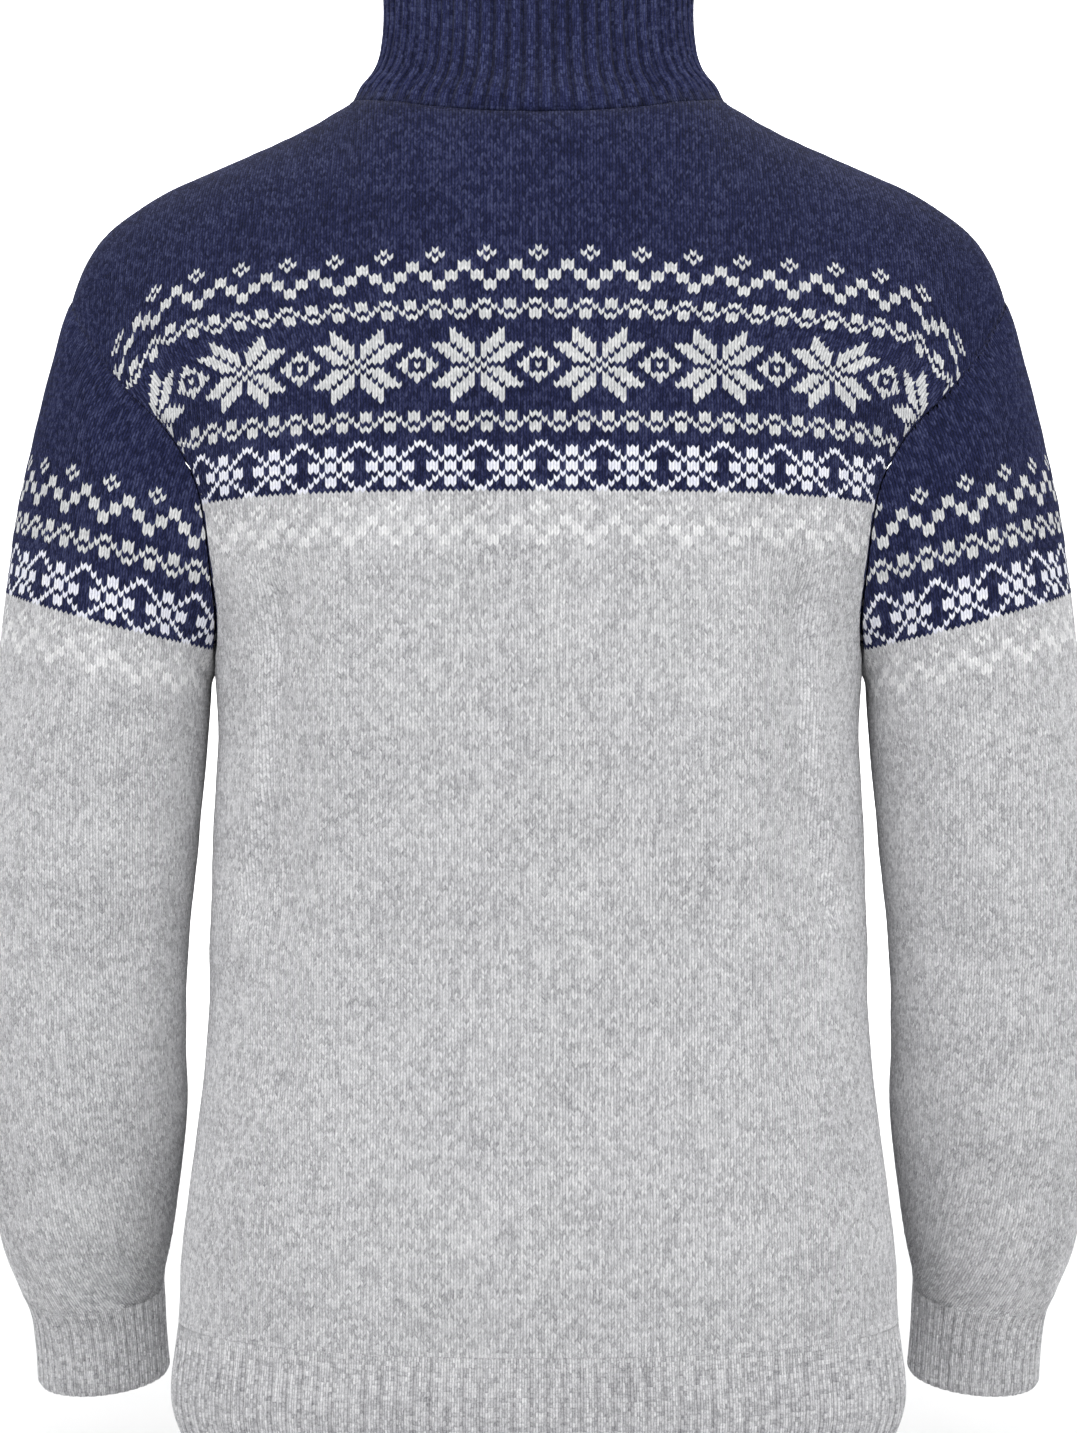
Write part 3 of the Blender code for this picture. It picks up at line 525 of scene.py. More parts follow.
def panel(side):
    """A panel's points, its places in stitches, which faces are kept, and their yarns."""
    surface, level = panel_surface(side)
    normal = normals_of(surface) * (1 if side == "front" else -1)
    across = [wale_lengths(row) for row in surface]
    widest = max(a[-1] for a in across)
    columns = np.arange(int(widest / QUARTER) + 2)
    laid = []
    for row, way, length in zip(surface, normal, across):
        risen = np.clip((row[0, 2] - UNDERARM[2] - WIDENS[0]) / (WIDENS[1] - WIDENS[0]), 0, 1)
        at = columns * QUARTER * (1 + WIDENING * risen**2 * (3 - 2 * risen))
        spare = (at - length[-1])[:, None]
        laid.append(np.concatenate([read(at, length, np.concatenate([row, way], axis=1)), spare], axis=1))
    laid = np.array(laid)
    up = lengths(laid[:, :, :3])
    up -= up[level]
    low = -round(-up[0, 0] / COURSE)
    high = int(up[-1].max() / COURSE) + 1
    pattern = charted(BODY_BANDS, BODY_PATTERN_TOP)
    courses = steps_between(low, high, pattern, UPPER_STEP)
    fade = np.clip((courses - low) / 3, 0, 1)
    grid, place = [], []
    for j in columns:
        course = courses + slant(j) * fade
        t = np.where(course < 0, course * up[0, j] / low, course * COURSE)
        grid.append(read(t, up[:, j], laid[:, j]))
        place.append(np.stack([up[-1, j] - t, t - up[0, j]], axis=1))
    grid, place = np.stack(grid, axis=1), np.stack(place, axis=1)
    points, normal, spare = grid[..., :3], unit(grid[..., 3:6]), grid[..., 6]
    over = (spare > -1e-7) | (place[..., 0] <= 1e-7)
    stand = leg_ridges(columns, over)
    stand += (seam_roll(-spare) + seam_roll(place[..., 0])) * seam_shows(points)
    stand += unevenness(points) * (faded(-spare, WAVE_FADE) * faded(place[..., 1], BAND_FADE))
    stand -= crease_depth(points) * faded(-spare, CREASE_FADE)
    kept = kept_faces(over)
    if side == "front":
        slit = int(round(SLIT_HALF / QUARTER))
        kept[:, :slit] &= ~(points[:-1, slit, 2] > SLIT_BOTTOM)[:, None]
        beside = np.maximum(columns - slit, 0) * QUARTER
        away = np.hypot(beside, np.maximum(SLIT_BOTTOM - points[..., 2], 0))
        stand -= SLIT_ROLL * np.exp(-((away / SLIT_ROLL_REACH) ** 2))
    points = points + normal * stand[..., None]
    u = (columns * QUARTER - np.maximum(spare, 0)) / STITCH + 0.5
    stitches = np.stack([u, np.repeat(courses[:, None], len(columns), axis=1)], axis=-1)
    points = np.concatenate([points[:, :0:-1] * [-1, 1, 1], points], axis=1)
    stitches = np.concatenate([stitches[:, :0:-1] * [-1, 1] + [1, 0], stitches], axis=1)
    kept = np.concatenate([kept[:, ::-1], kept], axis=1)
    wales = wales_of(columns)
    left, right = (yarns(pattern, courses[:-1], sign * wales) for sign in (1, -1))
    chosen = np.concatenate([right[:, ::-1], left], axis=1)
    step = -1 if side == "back" else 1
    return tuple(part[:, ::step] for part in (points, stitches, kept, chosen))


# The surface of a sleeve


def sleeve_surface(side, columns=241, rows=220):
    """Half of the left sleeve and its cuff, from the cuff's edge up, its columns from the outer side."""
    rings = table(SLEEVE)
    turn = np.linspace(0, pi, columns)[:, None]
    way = 1 if side == "back" else -1
    slope = np.gradient(rings["forward"], rings["outer_z"] + rings["inner_z"]) * 2
    made = [armhole(turn[:, 0], side)]
    for i, depth in enumerate(rings["depth"]):
        outer = np.array([rings["outer_x"][i], -rings["forward"][i], rings["outer_z"][i]])
        inner = np.array([rings["inner_x"][i], -rings["forward"][i], rings["inner_z"][i]])
        across = unit(np.array([0, 1, slope[i]])) * depth * way
        made.append((outer + inner) / 2 + (outer - inner) / 2 * np.cos(turn) + across * np.sin(turn))
    made = np.array(made)[::-1]
    far = np.concatenate([[0], np.cumsum(np.linalg.norm(np.diff(made, axis=0), axis=-1).mean(axis=1))])
    seam = far[CUFF_RINGS - 1]
    at = np.concatenate([np.linspace(0, seam, 31)[:-1], np.linspace(seam, far[-1], rows)])
    return smooth(at, far, made), 30


def course_planes(courses):
    """For each course of the sleeve, a point of its plane and the plane's normal."""
    rings, crossing = table(SLEEVE), table(SLEEVE_COURSES)
    ends = {}
    for name in ("outer", "inner"):
        z = smooth(courses, crossing["course"].astype(float), crossing[f"{name}_z"])
        x = np.interp(z, rings[f"{name}_z"][::-1], rings[f"{name}_x"][::-1])
        ends[name] = np.stack([x, 0 * x, z], axis=1)
    middle = (ends["outer"] + ends["inner"]) / 2
    level = (rings["outer_z"] + rings["inner_z"])[::-1] / 2
    slope = np.gradient(rings["forward"][::-1], level)
    middle[:, 1] = -np.interp(middle[:, 2], level, rings["forward"][::-1])
    lean = np.interp(middle[:, 2], level, slope)
    depthwise = np.stack([0 * lean, 1 + 0 * lean, lean], axis=1)
    normal = unit(np.cross(ends["outer"] - ends["inner"], depthwise))
    return middle, normal


def sleeve_half(side, courses):
    """Half of the left sleeve: points, normals, places and which points lie past its edge."""
    surface, seam = sleeve_surface(side)
    normal = normals_of(surface) * (-1 if side == "front" else 1)
    surface, normal = surface[seam:], normal[seam:]
    both = np.concatenate([surface, normal], axis=2)
    rows, count = surface.shape[:2]
    widest = lengths(surface, axis=1)[:, -1].max()
    columns = np.arange(int(widest / QUARTER) + 2)
    around = np.arange(count)

    def crossing(course):
        middle, up = course_planes(np.array([course]))
        past = (surface - middle[0]) @ up[0]
        ahead = past > 0
        ahead[0] = False
        step = np.argmax(ahead, axis=0)
        over = ~ahead.any(axis=0)
        step = np.where(over, rows - 1, step)
        low, high = past[step - 1, around], past[step, around]
        share = np.where(over, 1, np.clip(-low / np.maximum(high - low, 1e-9), 0, 1))[:, None]
        return both[step - 1, around] * (1 - share) + both[step, around] * share, over

    grid, spare = [], []
    top, fade = courses[-1], np.clip(courses / 3, 0, 1)
    shifts = (-SLANT, 0, SLANT)
    for course, soft in zip(courses, fade):
        shifted = []
        for shift in shifts:
            line, over = crossing(min(max(course + shift * soft, 1e-6 if course else 0), top))
            end = 0 if over.all() else min(int(around[~over][-1]) + 1, count - 1)
            length = lengths(line[: end + 1, :3]) if end else np.zeros(1)
            at = columns * QUARTER
            past_end = at - length[-1] if end else at + 1
            on_edge = np.interp(at, length, over[: end + 1]) > 0.5
            past_end = np.where(on_edge, np.maximum(past_end, 0), past_end)
            shifted.append((read(at, length, line[: end + 1]), past_end))
        pick = np.array([0, 1, 2, 1])[columns % 4]
        grid.append(np.array([shifted[p][0][j] for j, p in zip(columns, pick)]))
        spare.append(np.array([shifted[p][1][j] for j, p in zip(columns, pick)]))
    return np.array(grid), np.array(spare), columns


def sleeve():
    """The left sleeve: its points, places in stitches, kept faces and yarns."""
    pattern = charted(SLEEVE_BANDS, SLEEVE_PATTERN_TOP)
    courses = steps_between(0, SLEEVE_TOP, pattern, 1)
    halves = {}
    for side in ("back", "front"):
        grid, spare, columns = sleeve_half(side, courses)
        points, normal = grid[..., :3], unit(grid[..., 3:6])
        over = spare > -1e-7
        stand = leg_ridges(columns, over) + seam_roll(-spare) * seam_shows(points)
        stand += unevenness(points) * faded(-spare, WAVE_FADE) * faded(courses * COURSE, BAND_FADE)[:, None]
        stand -= crease_depth(points) * faded(-spare, CREASE_FADE)
        u = (columns * QUARTER - np.maximum(spare, 0)) / STITCH + 0.5
        stitches = np.stack([u, np.repeat(courses[:, None], len(columns), axis=1)], axis=-1)
        halves[side] = points + normal * stand[..., None], stitches, kept_faces(over)
    wide = min(half[0].shape[1] for half in halves.values())
    back, front = ([part[:, :wide] for part in halves[side][:2]] for side in ("back", "front"))
    points = np.concatenate([front[0][:, :0:-1], back[0]], axis=1)
    stitches = np.concatenate([front[1][:, :0:-1] * [-1, 1] + [1, 0], back[1]], axis=1)
    kept = np.concatenate([halves["front"][2][:, wide - 2::-1], halves["back"][2][:, : wide - 1]], axis=1)
    wales = wales_of(np.arange(wide))
    near, far = (yarns(pattern, courses[:-1], sign * wales) for sign in (1, -1))
    return points, stitches, kept, np.concatenate([far[:, ::-1], near], axis=1)


# Ribbed bands


def rib_relief(share):
    """Height across a rib, from 0 at its edges, where it meets the next rib, to 1: two wales with a groove
    between them.
    """
    away = np.abs(share - 0.5)
    flank = np.clip((FLANK_FROM - away) / FLANK, 0, 1)
    groove = GROOVE * np.exp(-((away / GROOVE_REACH) ** 2))
    return flank**2 * (3 - 2 * flank) * (1 - groove)


def band(base, normal, height, free_end, sink):
    """The outside and inside of a ribbed band over its base rows, its free edge the first or the last."""
    relief = rib_relief(np.arange(base.shape[1]) / RIB_POINTS % 1)
    up = lengths(base)
    size = up[-1].mean()
    away = up if free_end == "first" else size - up
    near = np.exp(-((np.maximum(away, 0) / RIB_EDGE) ** 2))
    root = np.clip((size - away) / RIB_REACH, 0, 1)
    grow = root * root * (3 - 2 * root)
    turned = RIB_WALL * RIB_EDGE_IN * near
    base = base - normal * (sink * height * grow)[..., None]
    outer = base + normal * (height * relief * grow * (1 - 0.5 * near) - turned)[..., None]
    inner = base - normal * (RIB_WALL + 0.4 * height * (relief - 1) * grow - turned)[..., None]
    return outer, inner


def grid_faces(rows, count, closed):
    i, j = np.meshgrid(np.arange(rows - 1), np.arange(count if closed else count - 1), indexing="ij")
    k = (j + 1) % count
    corners = i * count + j, i * count + k, (i + 1) * count + k, (i + 1) * count + j
    return np.stack(corners, axis=-1).reshape(-1, 4)


def closed_band(outer, inner, closed):
    """Points and faces of a band: outside, inside, both rims, and its two ends where it isn't a ring."""
    rows, count = outer.shape[:2]
    first = rows * count
    shell = grid_faces(rows, count, closed)
    faces = [shell, shell[:, ::-1] + first]
    ring = np.arange(count if closed else count - 1)
    after = (ring + 1) % count
    last = (rows - 1) * count
    faces.append(np.stack([after, ring, ring + first, after + first], axis=1))
    faces.append(np.stack([ring + last, after + last, after + last + first, ring + last + first], axis=1))
    if not closed:
        rise = np.arange(rows - 1) * count
        for column, turn in ((0, 1), (count - 1, -1)):
            a, b = rise + column, rise + count + column
            faces.append(np.stack([a, b, b + first, a + first], axis=1)[:, ::turn])
    points = np.concatenate([outer.reshape(-1, 3), inner.reshape(-1, 3)])
    return points, np.concatenate(faces)


# Meshes


def add_object(name, data):
    item = bpy.data.objects.new(name, data)
    bpy.context.scene.collection.objects.link(item)
    return item


def add_mesh(name, points, faces, stitches, materials, chosen=None):
    """A smooth mesh from points, faces, a place in stitches for each point, and a material for each face."""
    used, place = np.unique(faces, return_inverse=True)
    mesh = bpy.data.meshes.new(name)
    mesh.from_pydata(points[used], [], place.reshape(faces.shape))
    layer = mesh.uv_layers.new(name="stitches")
    corner = np.empty(len(mesh.loops), dtype=np.int32)
    mesh.loops.foreach_get("vertex_index", corner)
    layer.uv.foreach_set("vector", stitches[used][corner].astype(np.float32).ravel())
    for material in materials:
        mesh.materials.append(material)
    if chosen is not None:
        mesh.polygons.foreach_set("material_index", chosen.astype(np.int32))
    mesh.shade_smooth()
    return add_object(name, mesh)


def add_cloth(name, cloth, materials):
    """A stockinette piece from its grid."""
    points, stitches, kept, chosen = cloth
    kept = kept.ravel()
    faces = grid_faces(*points.shape[:2], False)[kept]
    chosen = chosen.ravel()[kept]
    return add_mesh(name, points.reshape(-1, 3), faces, stitches.reshape(-1, 2), materials, chosen)


def mirrored(cloth):
    """The same piece on the other side."""
    points, stitches, kept, chosen = cloth
    return points[:, ::-1] * [-1, 1, 1], stitches[:, ::-1] * [-1, 1], kept[:, ::-1], chosen[:, ::-1]


def dress(item, *nodes, slot, flat, area=None):
    """Puts a piece of cloth in the place of its solids."""
    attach(item, "garment")
    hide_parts(*nodes)


def add_band(name, base, normal, height, closed, free_end, material, sink=RIB_SINK):
    """A ribbed piece, its stitches set across its ribs."""
    points, faces = closed_band(*band(base, normal, height, free_end, sink), closed)
    u = np.repeat((np.arange(base.shape[1]) / RIB_POINTS * RIB_STITCHES)[None], base.shape[0], axis=0)
    stitches = np.stack([u, lengths(base) / COURSE], axis=-1).reshape(-1, 2)
    return add_mesh(name, points, faces, np.concatenate([stitches, stitches]), [material])


def even_columns(rows, count, closed):
    """Each row with that many points, evenly along it."""
    made = []
    for row in rows:
        row = np.concatenate([row, row[:1]]) if closed else row
        length = lengths(row)
        at = np.linspace(0, length[-1], count, endpoint=not closed)
        made.append(read(at, length, row))
    return np.array(made)


def slanted_rows(grid, courses):
    """A band's rows at its courses, its wales' middles hanging lower than their edges."""
    up = lengths(grid)
    share = np.arange(grid.shape[1]) / RIB_POINTS * RIB_STITCHES
    shift = -SLANT * np.cos(2 * pi * (share - 0.5)) * COURSE
    columns = []
    for j, size in enumerate(up[-1]):
        at = np.linspace(0, size, courses + 1)
        at[1:-1] += shift[j]
        columns.append(read(at, up[:, j], grid[:, j]))
    return np.stack(columns, axis=1)


def with_mirror(half):
    """A line and its mirror image, joined at its last point."""
    return np.concatenate([half, half[-2::-1] * [-1, 1, 1]])


def hem(side):
    """The rows of half of the hem, from its edge up."""
    surface, _ = panel_surface(side)
    bottom = surface[0]
    whole = np.concatenate([bottom[:0:-1] * [-1, 1, 1], bottom])
    whole = whole if side == "front" else whole[::-1]
    sections = table(TORSO)
    height = np.linspace(sections["height"][0], HEM_SEAM, 30)
    wide = smooth(height, sections["height"], sections["half_width"])
    deep = smooth(height, sections["height"], sections[side])
    sizes = zip(height - HEM_SEAM, wide / wide[-1], deep / deep[-1])
    rows = [whole * [w, d, 1] + [0, 0, z] for z, w, d in sizes]
    return even_columns(rows, HEM_RIBS * RIB_POINTS + 1, False)


def cuff():
    """The rows of the left cuff, from its edge up."""
    halves = {side: sleeve_surface(side) for side in ("back", "front")}
    seam = halves["back"][1]
    back, front = halves["back"][0][: seam + 1], halves["front"][0][: seam + 1]
    rows = np.concatenate([back, front[:, -2:0:-1]], axis=1)
    return even_columns(rows, CUFF_RIBS * RIB_POINTS, True)


def collar():
    """The collar's rows from the neck seam up."""
    front, back = panel_surface("front")[0][-1], panel_surface("back")[0][-1]
    last = int(round(NECK_SHARE * (len(front) - 1))) + 1
    front, back = front[:last], back[:last]
    start = np.array([np.interp(SLIT_HALF, front[:, 0], front[:, k]) for k in range(3)])
    left_front = np.concatenate([[start], front[front[:, 0] > SLIT_HALF + 0.0002]])
    seam = with_mirror(np.concatenate([left_front, back[-2::-1]]))
    shape = table(COLLAR)
    depth_here = np.where(seam[:, 1] > 0, NECK_DEPTH["back"], -NECK_DEPTH["front"])
    deep = seam[:, 1] / depth_here
    end = np.where(deep > 0, COLLAR_TOP["back"], COLLAR_TOP["front"])
    top = COLLAR_TOP["side"] + (end - COLLAR_TOP["side"]) * deep**2
    rows = []
    for share in np.linspace(0, 1, 40):
        wide, half_depth = (smooth(share, shape["share"], shape[key]) for key in ("half_width", "half_depth"))
        depth = depth_here + (half_depth - depth_here) * min(1, share / COLLAR_SETTLED)
        spread = (wide - SLIT_HALF) / (NECK_HALF_WIDTH - SLIT_HALF)
        x = np.sign(seam[:, 0]) * (SLIT_HALF + (np.abs(seam[:, 0]) - SLIT_HALF) * spread)
        x = np.where(np.abs(seam[:, 0]) < SLIT_HALF, seam[:, 0] * spread, x)
        z = seam[:, 2] + (top - seam[:, 2]) * share
        rows.append(np.stack([x, deep * depth - COLLAR_FORWARD * share, z], axis=1))
    return even_columns(rows, COLLAR_RIBS * RIB_POINTS + 1, False)


# Zip


def zip_line():
    """The tape's columns on the cloth, from below the slit to the collar's top, as with the slit closed."""
    below = [row for row in panel_surface("front")[0] if row[0, 2] > SLIT_BOTTOM - TAPE_HEM]
    above = [row[: len(row) // 6] for row in collar()[1:]]
    at = np.maximum(TAPE_COLUMNS, SLIT_HALF)
    rows = np.array([read(at, row[:, 0], row) for row in below + above])
    rows[:, :, 0] = TAPE_COLUMNS
    length = lengths(rows[:, 0])
    for _ in range(3):
        rows[1:-1] = (rows[:-2] + 2 * rows[1:-1] + rows[2:]) / 4
    at = np.linspace(0, length[-1], TAPE_ROWS)
    return np.stack([read(at, length, rows[:, k]) for k in range(len(TAPE_COLUMNS))], axis=1)


def add_tape(side, line, material):
    """One woven tape, with the cord on its inner edge."""
    out = normals_of(line)
    bead = TAPE_CORD * np.exp(-(((np.array(TAPE_COLUMNS) - TAPE_CORD_PLACE) / TAPE_CORD_REACH) ** 2))
    outer = line - out * (TAPE_SEAT - bead)[None, :, None]
    inner = line - out * (TAPE_SEAT + TAPE_THICKNESS + bead)[None, :, None]
    if side < 0:
        outer, inner = outer[:, ::-1] * [-1, 1, 1], inner[:, ::-1] * [-1, 1, 1]
    points, faces = closed_band(outer, inner, False)
    u = np.repeat(np.array(TAPE_COLUMNS)[None] / STITCH, line.shape[0], axis=0)
    v = lengths(line) / STITCH
    stitches = np.stack([u, v], axis=-1)[:, :: 1 if side > 0 else -1].reshape(-1, 2)
    name = "left" if side > 0 else "right"
    item = add_mesh(f"woven_tape_{name}", points, faces, np.concatenate([stitches, stitches]), [material])
    dress(item, f"zip_tape_{name}", slot="zip_tape", flat=(TAPE_COLUMNS[-1], float(lengths(line)[-1].mean())))


def metal_block(size):
    """A small block with worn edges: its points and faces."""
    work = bmesh.new()
    bmesh.ops.create_cube(work, size=1.0)
    bmesh.ops.scale(work, vec=size, verts=work.verts)
    bmesh.ops.bevel(work, geom=work.edges[:], offset=METAL_EDGE, segments=1, affect="EDGES")
    bmesh.ops.triangulate(work, faces=work.faces[:])
    points = np.array([vertex.co for vertex in work.verts])
    faces = np.array([[vertex.index for vertex in face.verts] for face in work.faces])
    work.free()
    return points, faces


def add_teeth(line, metal):
    """The chain of teeth, closed up to the slider, and its stops."""
    middle = line[:, 0] * [0, 1, 1]
    length = lengths(middle)
    tangent = unit(np.gradient(middle, axis=0))
    out = np.cross([1.0, 0.0, 0.0], tangent)
    depth = TAPE_SEAT + TAPE_THICKNESS / 2
    places = []
    for n, at in enumerate(np.arange(TEETH_FROM, length[-1] - TEETH_TO, TOOTH_PITCH / 2)):
        places.append((TOOTH, at, (1 if n % 2 else -1) * (TOOTH[0] / 2 - TOOTH_OVER)))
    places.append((BOTTOM_STOP, TEETH_FROM - BOTTOM_STOP[1], 0))
    places += [(TOP_STOP, length[-1] - TOP_STOP_PLACE, sign * TOP_STOP_ASIDE) for sign in (1, -1)]
    points, faces, blocks = [], [], {size: metal_block(size) for size in (TOOTH, BOTTOM_STOP, TOP_STOP)}
    for size, at, x in places:
        here, up, way = (read(np.array([at]), length, values)[0] for values in (middle, tangent, out))
        block, block_faces = blocks[size]
        turned = block @ np.array([[1, 0, 0], up, way]) + here - way * depth + [x, 0, 0]
        faces.append(block_faces + sum(len(made) for made in points))
        points.append(turned)
    points = np.concatenate(points)
    item = add_mesh("zip_teeth", points, np.concatenate(faces), points[:, :2] / STITCH, [metal])
    item.data.shade_flat()
    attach(item, "garment")


def add_hardware(name, node_name, body, metal):
    """A hard piece of the zip with its edges worn round."""
    work = bmesh.new()
    work.from_mesh(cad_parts[node_name].data)
    bmesh.ops.dissolve_limit(work, angle_limit=radians(2), verts=work.verts, edges=work.edges)
    bmesh.ops.recalc_face_normals(work, faces=work.faces)
    sharp = [edge for edge in work.edges if edge.calc_face_angle(0) > radians(25)]
    bmesh.ops.bevel(work, geom=sharp, offset=METAL_EDGE, segments=2, affect="EDGES", clamp_overlap=True)
    mesh = bpy.data.meshes.new(name)
    work.to_mesh(mesh)
    work.free()
    mesh.shade_smooth()
    mesh.set_sharp_from_angle(angle=radians(40))
    mesh.materials.clear()
    mesh.materials.append(metal)
    item = add_object(name, mesh)
    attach(item, body)
    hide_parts(node_name)


# Seams


def add_seams(yarn):
    """The allowances inside the armholes, shoulders, sides, underarms and neck."""
    (back, level), (front, _) = panel_surface("back"), panel_surface("front")
    back_ways, front_ways = -normals_of(back), normals_of(front)
    corner = int(round(NECK_SHARE * (back.shape[1] - 1)))
    sleeve_part, cuff_rows = sleeve_surface("back")
    under, side = sleeve_part[cuff_rows:, -1], back[: level + 1, -1]
    pairs = (front, back), (front_ways, back_ways)
    round_arm = [np.concatenate([a[level:, -1], b[level:, -1][-2::-1]]) for a, b in pairs]
    for name, path, ways, chosen in (
        ("armhole", round_arm[0], unit(round_arm[1]), NAVY),
        ("shoulder", back[-1, corner:], unit(back_ways[-1, corner:] + front_ways[-1, corner:]), NAVY),
        ("side", side, np.tile([1.0, 0, 0], (len(side), 1)), HEATHER),
        ("underarm", under, np.tile([-1.0, 0, 0], (len(under), 1)), HEATHER),
    ):
        add_seam(f"seam_{name}_left", path, ways, yarn[chosen])
        add_seam(f"seam_{name}_right", path[::-1] * [-1, 1, 1], ways[::-1] * [-1, 1, 1], yarn[chosen])
    shown = front[-1, : corner + 1, 0] > SLIT_HALF
    neck = []
    tops = [unit(ways[-1] + [0, 0, 1]) for ways in (front_ways, back_ways)]
    for near, far in ((front[-1], back[-1]), tops):
        neck.append(with_mirror(np.concatenate([near[: corner + 1][shown], far[corner - 1::-1]])))
    add_seam("seam_neck", *neck, yarn[NAVY])


def add_seam(name, path, ways, material):
    """The rolled allowance that runs inside a seam."""
    depth = SEAM_CORD * 0.8 + SEAM_DIP * seam_shows(path)[:, None]
    across = unit(np.cross(unit(np.gradient(path, axis=0)), ways))[:, None]
    turn = (np.arange(SEAM_CORD_SIDES) * 2 * pi / SEAM_CORD_SIDES)[:, None]
    round_cord = np.cos(turn) * ways[:, None] + np.sin(turn) * across
    rings = (path - ways * depth)[:, None] + SEAM_CORD * round_cord
    points = rings.reshape(-1, 3)
    faces = grid_faces(len(path), SEAM_CORD_SIDES, True)
    item = add_mesh(name, points, faces, points[:, ::2] / STITCH, [material])
    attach(item, "garment")


# Materials


def shader_of(name):
    """A new material with its node tree and shader."""
    material = bpy.data.materials.new(name)
    material.use_nodes = True
    return material, material.node_tree, material.node_tree.nodes["Principled BSDF"]


def node(tree, kind, settings=(), **values):
    """A node with its settings, and its inputs by name, from a value or another node's output."""
    made = tree.nodes.new(kind)
    for key, value in dict(settings).items():
        setattr(made, key, value)
    for key, value in values.items():
        socket = made.inputs[int(key[1:])] if key[0] == "i" and key[1:].isdigit() else made.inputs[key]
        if isinstance(value, bpy.types.NodeSocket):
            tree.links.new(value, socket)
        else:
            socket.default_value = value
    return made


def maths(tree, operation, *values):
    return node(tree, "ShaderNodeMath", {"operation": operation},
                **{f"i{k}": value for k, value in enumerate(values)}).outputs[0]


def stretched_noise(tree, place, across, up, detail, roughness):
    """Noise on the cloth, from 0 to 1, with that many spots a stitch across and up."""
    moved = node(tree, "ShaderNodeMapping", Vector=place, Scale=(across, up, 1.0))
    return node(tree, "ShaderNodeTexNoise", {"noise_dimensions": "2D"}, Vector=moved.outputs[0], Scale=1.0,
                Detail=detail, Roughness=roughness).outputs["Fac"]


def coloured(tree, factor, low, high, places=(0.0, 1.0)):
    """A ramp from one colour to another."""
    ramp = node(tree, "ShaderNodeValToRGB", Fac=factor)
    for stop, place, colour in zip(ramp.color_ramp.elements, places, (low, high)):
        stop.position, stop.color = place, (*colour, 1)
    return ramp


def bumped(tree, shader, height, strength, distance):
    bump = node(tree, "ShaderNodeBump", Height=height, Strength=strength, Distance=distance)
    tree.links.new(bump.outputs[0], shader.inputs["Normal"])


def knit(name, dark, base, light, contrast, gap, sheen, furrow_shade):
    """A melange yarn in stockinette: legs with painted shade in the gaps between them, each leg's own tone,
    flecks and fibres; for ribs, painted shade in the furrows.
    """
    material, tree, shader = shader_of(name)
    place = node(tree, "ShaderNodeUVMap", {"uv_map": "stitches"}).outputs[0]
    wale, course = node(tree, "ShaderNodeSeparateXYZ", Vector=place).outputs[:2]
    leg = maths(tree, "ABSOLUTE", maths(tree, "SINE", maths(tree, "MULTIPLY", wale, 2 * pi)))
    bead = maths(tree, "ABSOLUTE", maths(tree, "SINE", maths(tree, "MULTIPLY", course, pi)))
    bead = maths(tree, "MULTIPLY_ADD", maths(tree, "POWER", bead, 0.5), 0.35, 0.65)
    stitch = maths(tree, "MULTIPLY", maths(tree, "POWER", leg, 0.6), bead)
    legs = node(tree, "ShaderNodeCombineXYZ", i0=maths(tree, "FLOOR", maths(tree, "MULTIPLY", wale, 2.0)),
                i1=maths(tree, "FLOOR", course))
    own = node(tree, "ShaderNodeTexWhiteNoise", {"noise_dimensions": "2D"}, Vector=legs.outputs[0]).outputs[0]
    tone = maths(tree, "MULTIPLY", own, OWN_SHARE)
    for *spots, share in SPOTS[1:]:
        tone = maths(tree, "MULTIPLY_ADD", stretched_noise(tree, place, *spots), share, tone)
    ramp = coloured(tree, tone, dark, light, (0.5 - contrast, 0.5 + contrast))
    ramp.color_ramp.elements.new(0.5).color = (*base, 1)
    fibre = stretched_noise(tree, place, *FIBRES)
    # Painted shade: the colour darkens in the gaps between legs and between courses, where shade falls, then
    # varies with the fibres' own tone
    shade_and_fibre_tone = maths(tree, "MULTIPLY_ADD", stitch, gap, 1.0 - 0.9 * gap)
    shade_and_fibre_tone = maths(tree, "MULTIPLY", shade_and_fibre_tone, maths(tree, "MULTIPLY_ADD", fibre, 0.5, 0.75))
    # Painted shade: a rib's furrows drawn darker, where shade falls between the ribs
    if furrow_shade:
        deep = maths(tree, "COSINE", maths(tree, "MULTIPLY", wale, pi / RIB_STITCHES))
        deep = maths(tree, "POWER", maths(tree, "ABSOLUTE", deep), 3.0)
        deep = maths(tree, "MULTIPLY_ADD", deep, -furrow_shade, 1.0 + 0.35 * furrow_shade)
        shade_and_fibre_tone = maths(tree, "MULTIPLY", shade_and_fibre_tone, deep)
    tinted = node(tree, "ShaderNodeVectorMath", {"operation": "SCALE"}, i0=ramp.outputs[0], Scale=shade_and_fibre_tone)
    tree.links.new(tinted.outputs[0], shader.inputs["Base Color"])
    height = maths(tree, "ADD", maths(tree, "MULTIPLY", stitch, 0.8), maths(tree, "MULTIPLY", fibre, 0.3))
    bumped(tree, shader, height, 0.85, 0.0008)
    shader.inputs["Roughness"].default_value = 0.95
    shader.inputs["Specular IOR Level"].default_value = 0.1
    shader.inputs["Sheen Weight"].default_value = sheen
    shader.inputs["Sheen Roughness"].default_value = 0.6
    return material


def tape_weave():
    """The zip's woven tape."""
    material, tree, shader = shader_of("zip_tape_weave")
    place = node(tree, "ShaderNodeTexCoord").outputs["Object"]
    herring = node(tree, "ShaderNodeTexWave", {"bands_direction": "DIAGONAL"}, Vector=place, Scale=700.0,
                   Distortion=1.5, Detail=1.0).outputs["Fac"]
    ramp = coloured(tree, herring, (0.012, 0.014, 0.045), (0.030, 0.034, 0.100))
    tree.links.new(ramp.outputs[0], shader.inputs["Base Color"])
    bumped(tree, shader, herring, 0.4, 0.0002)
    shader.inputs["Roughness"].default_value = 0.85
    return material


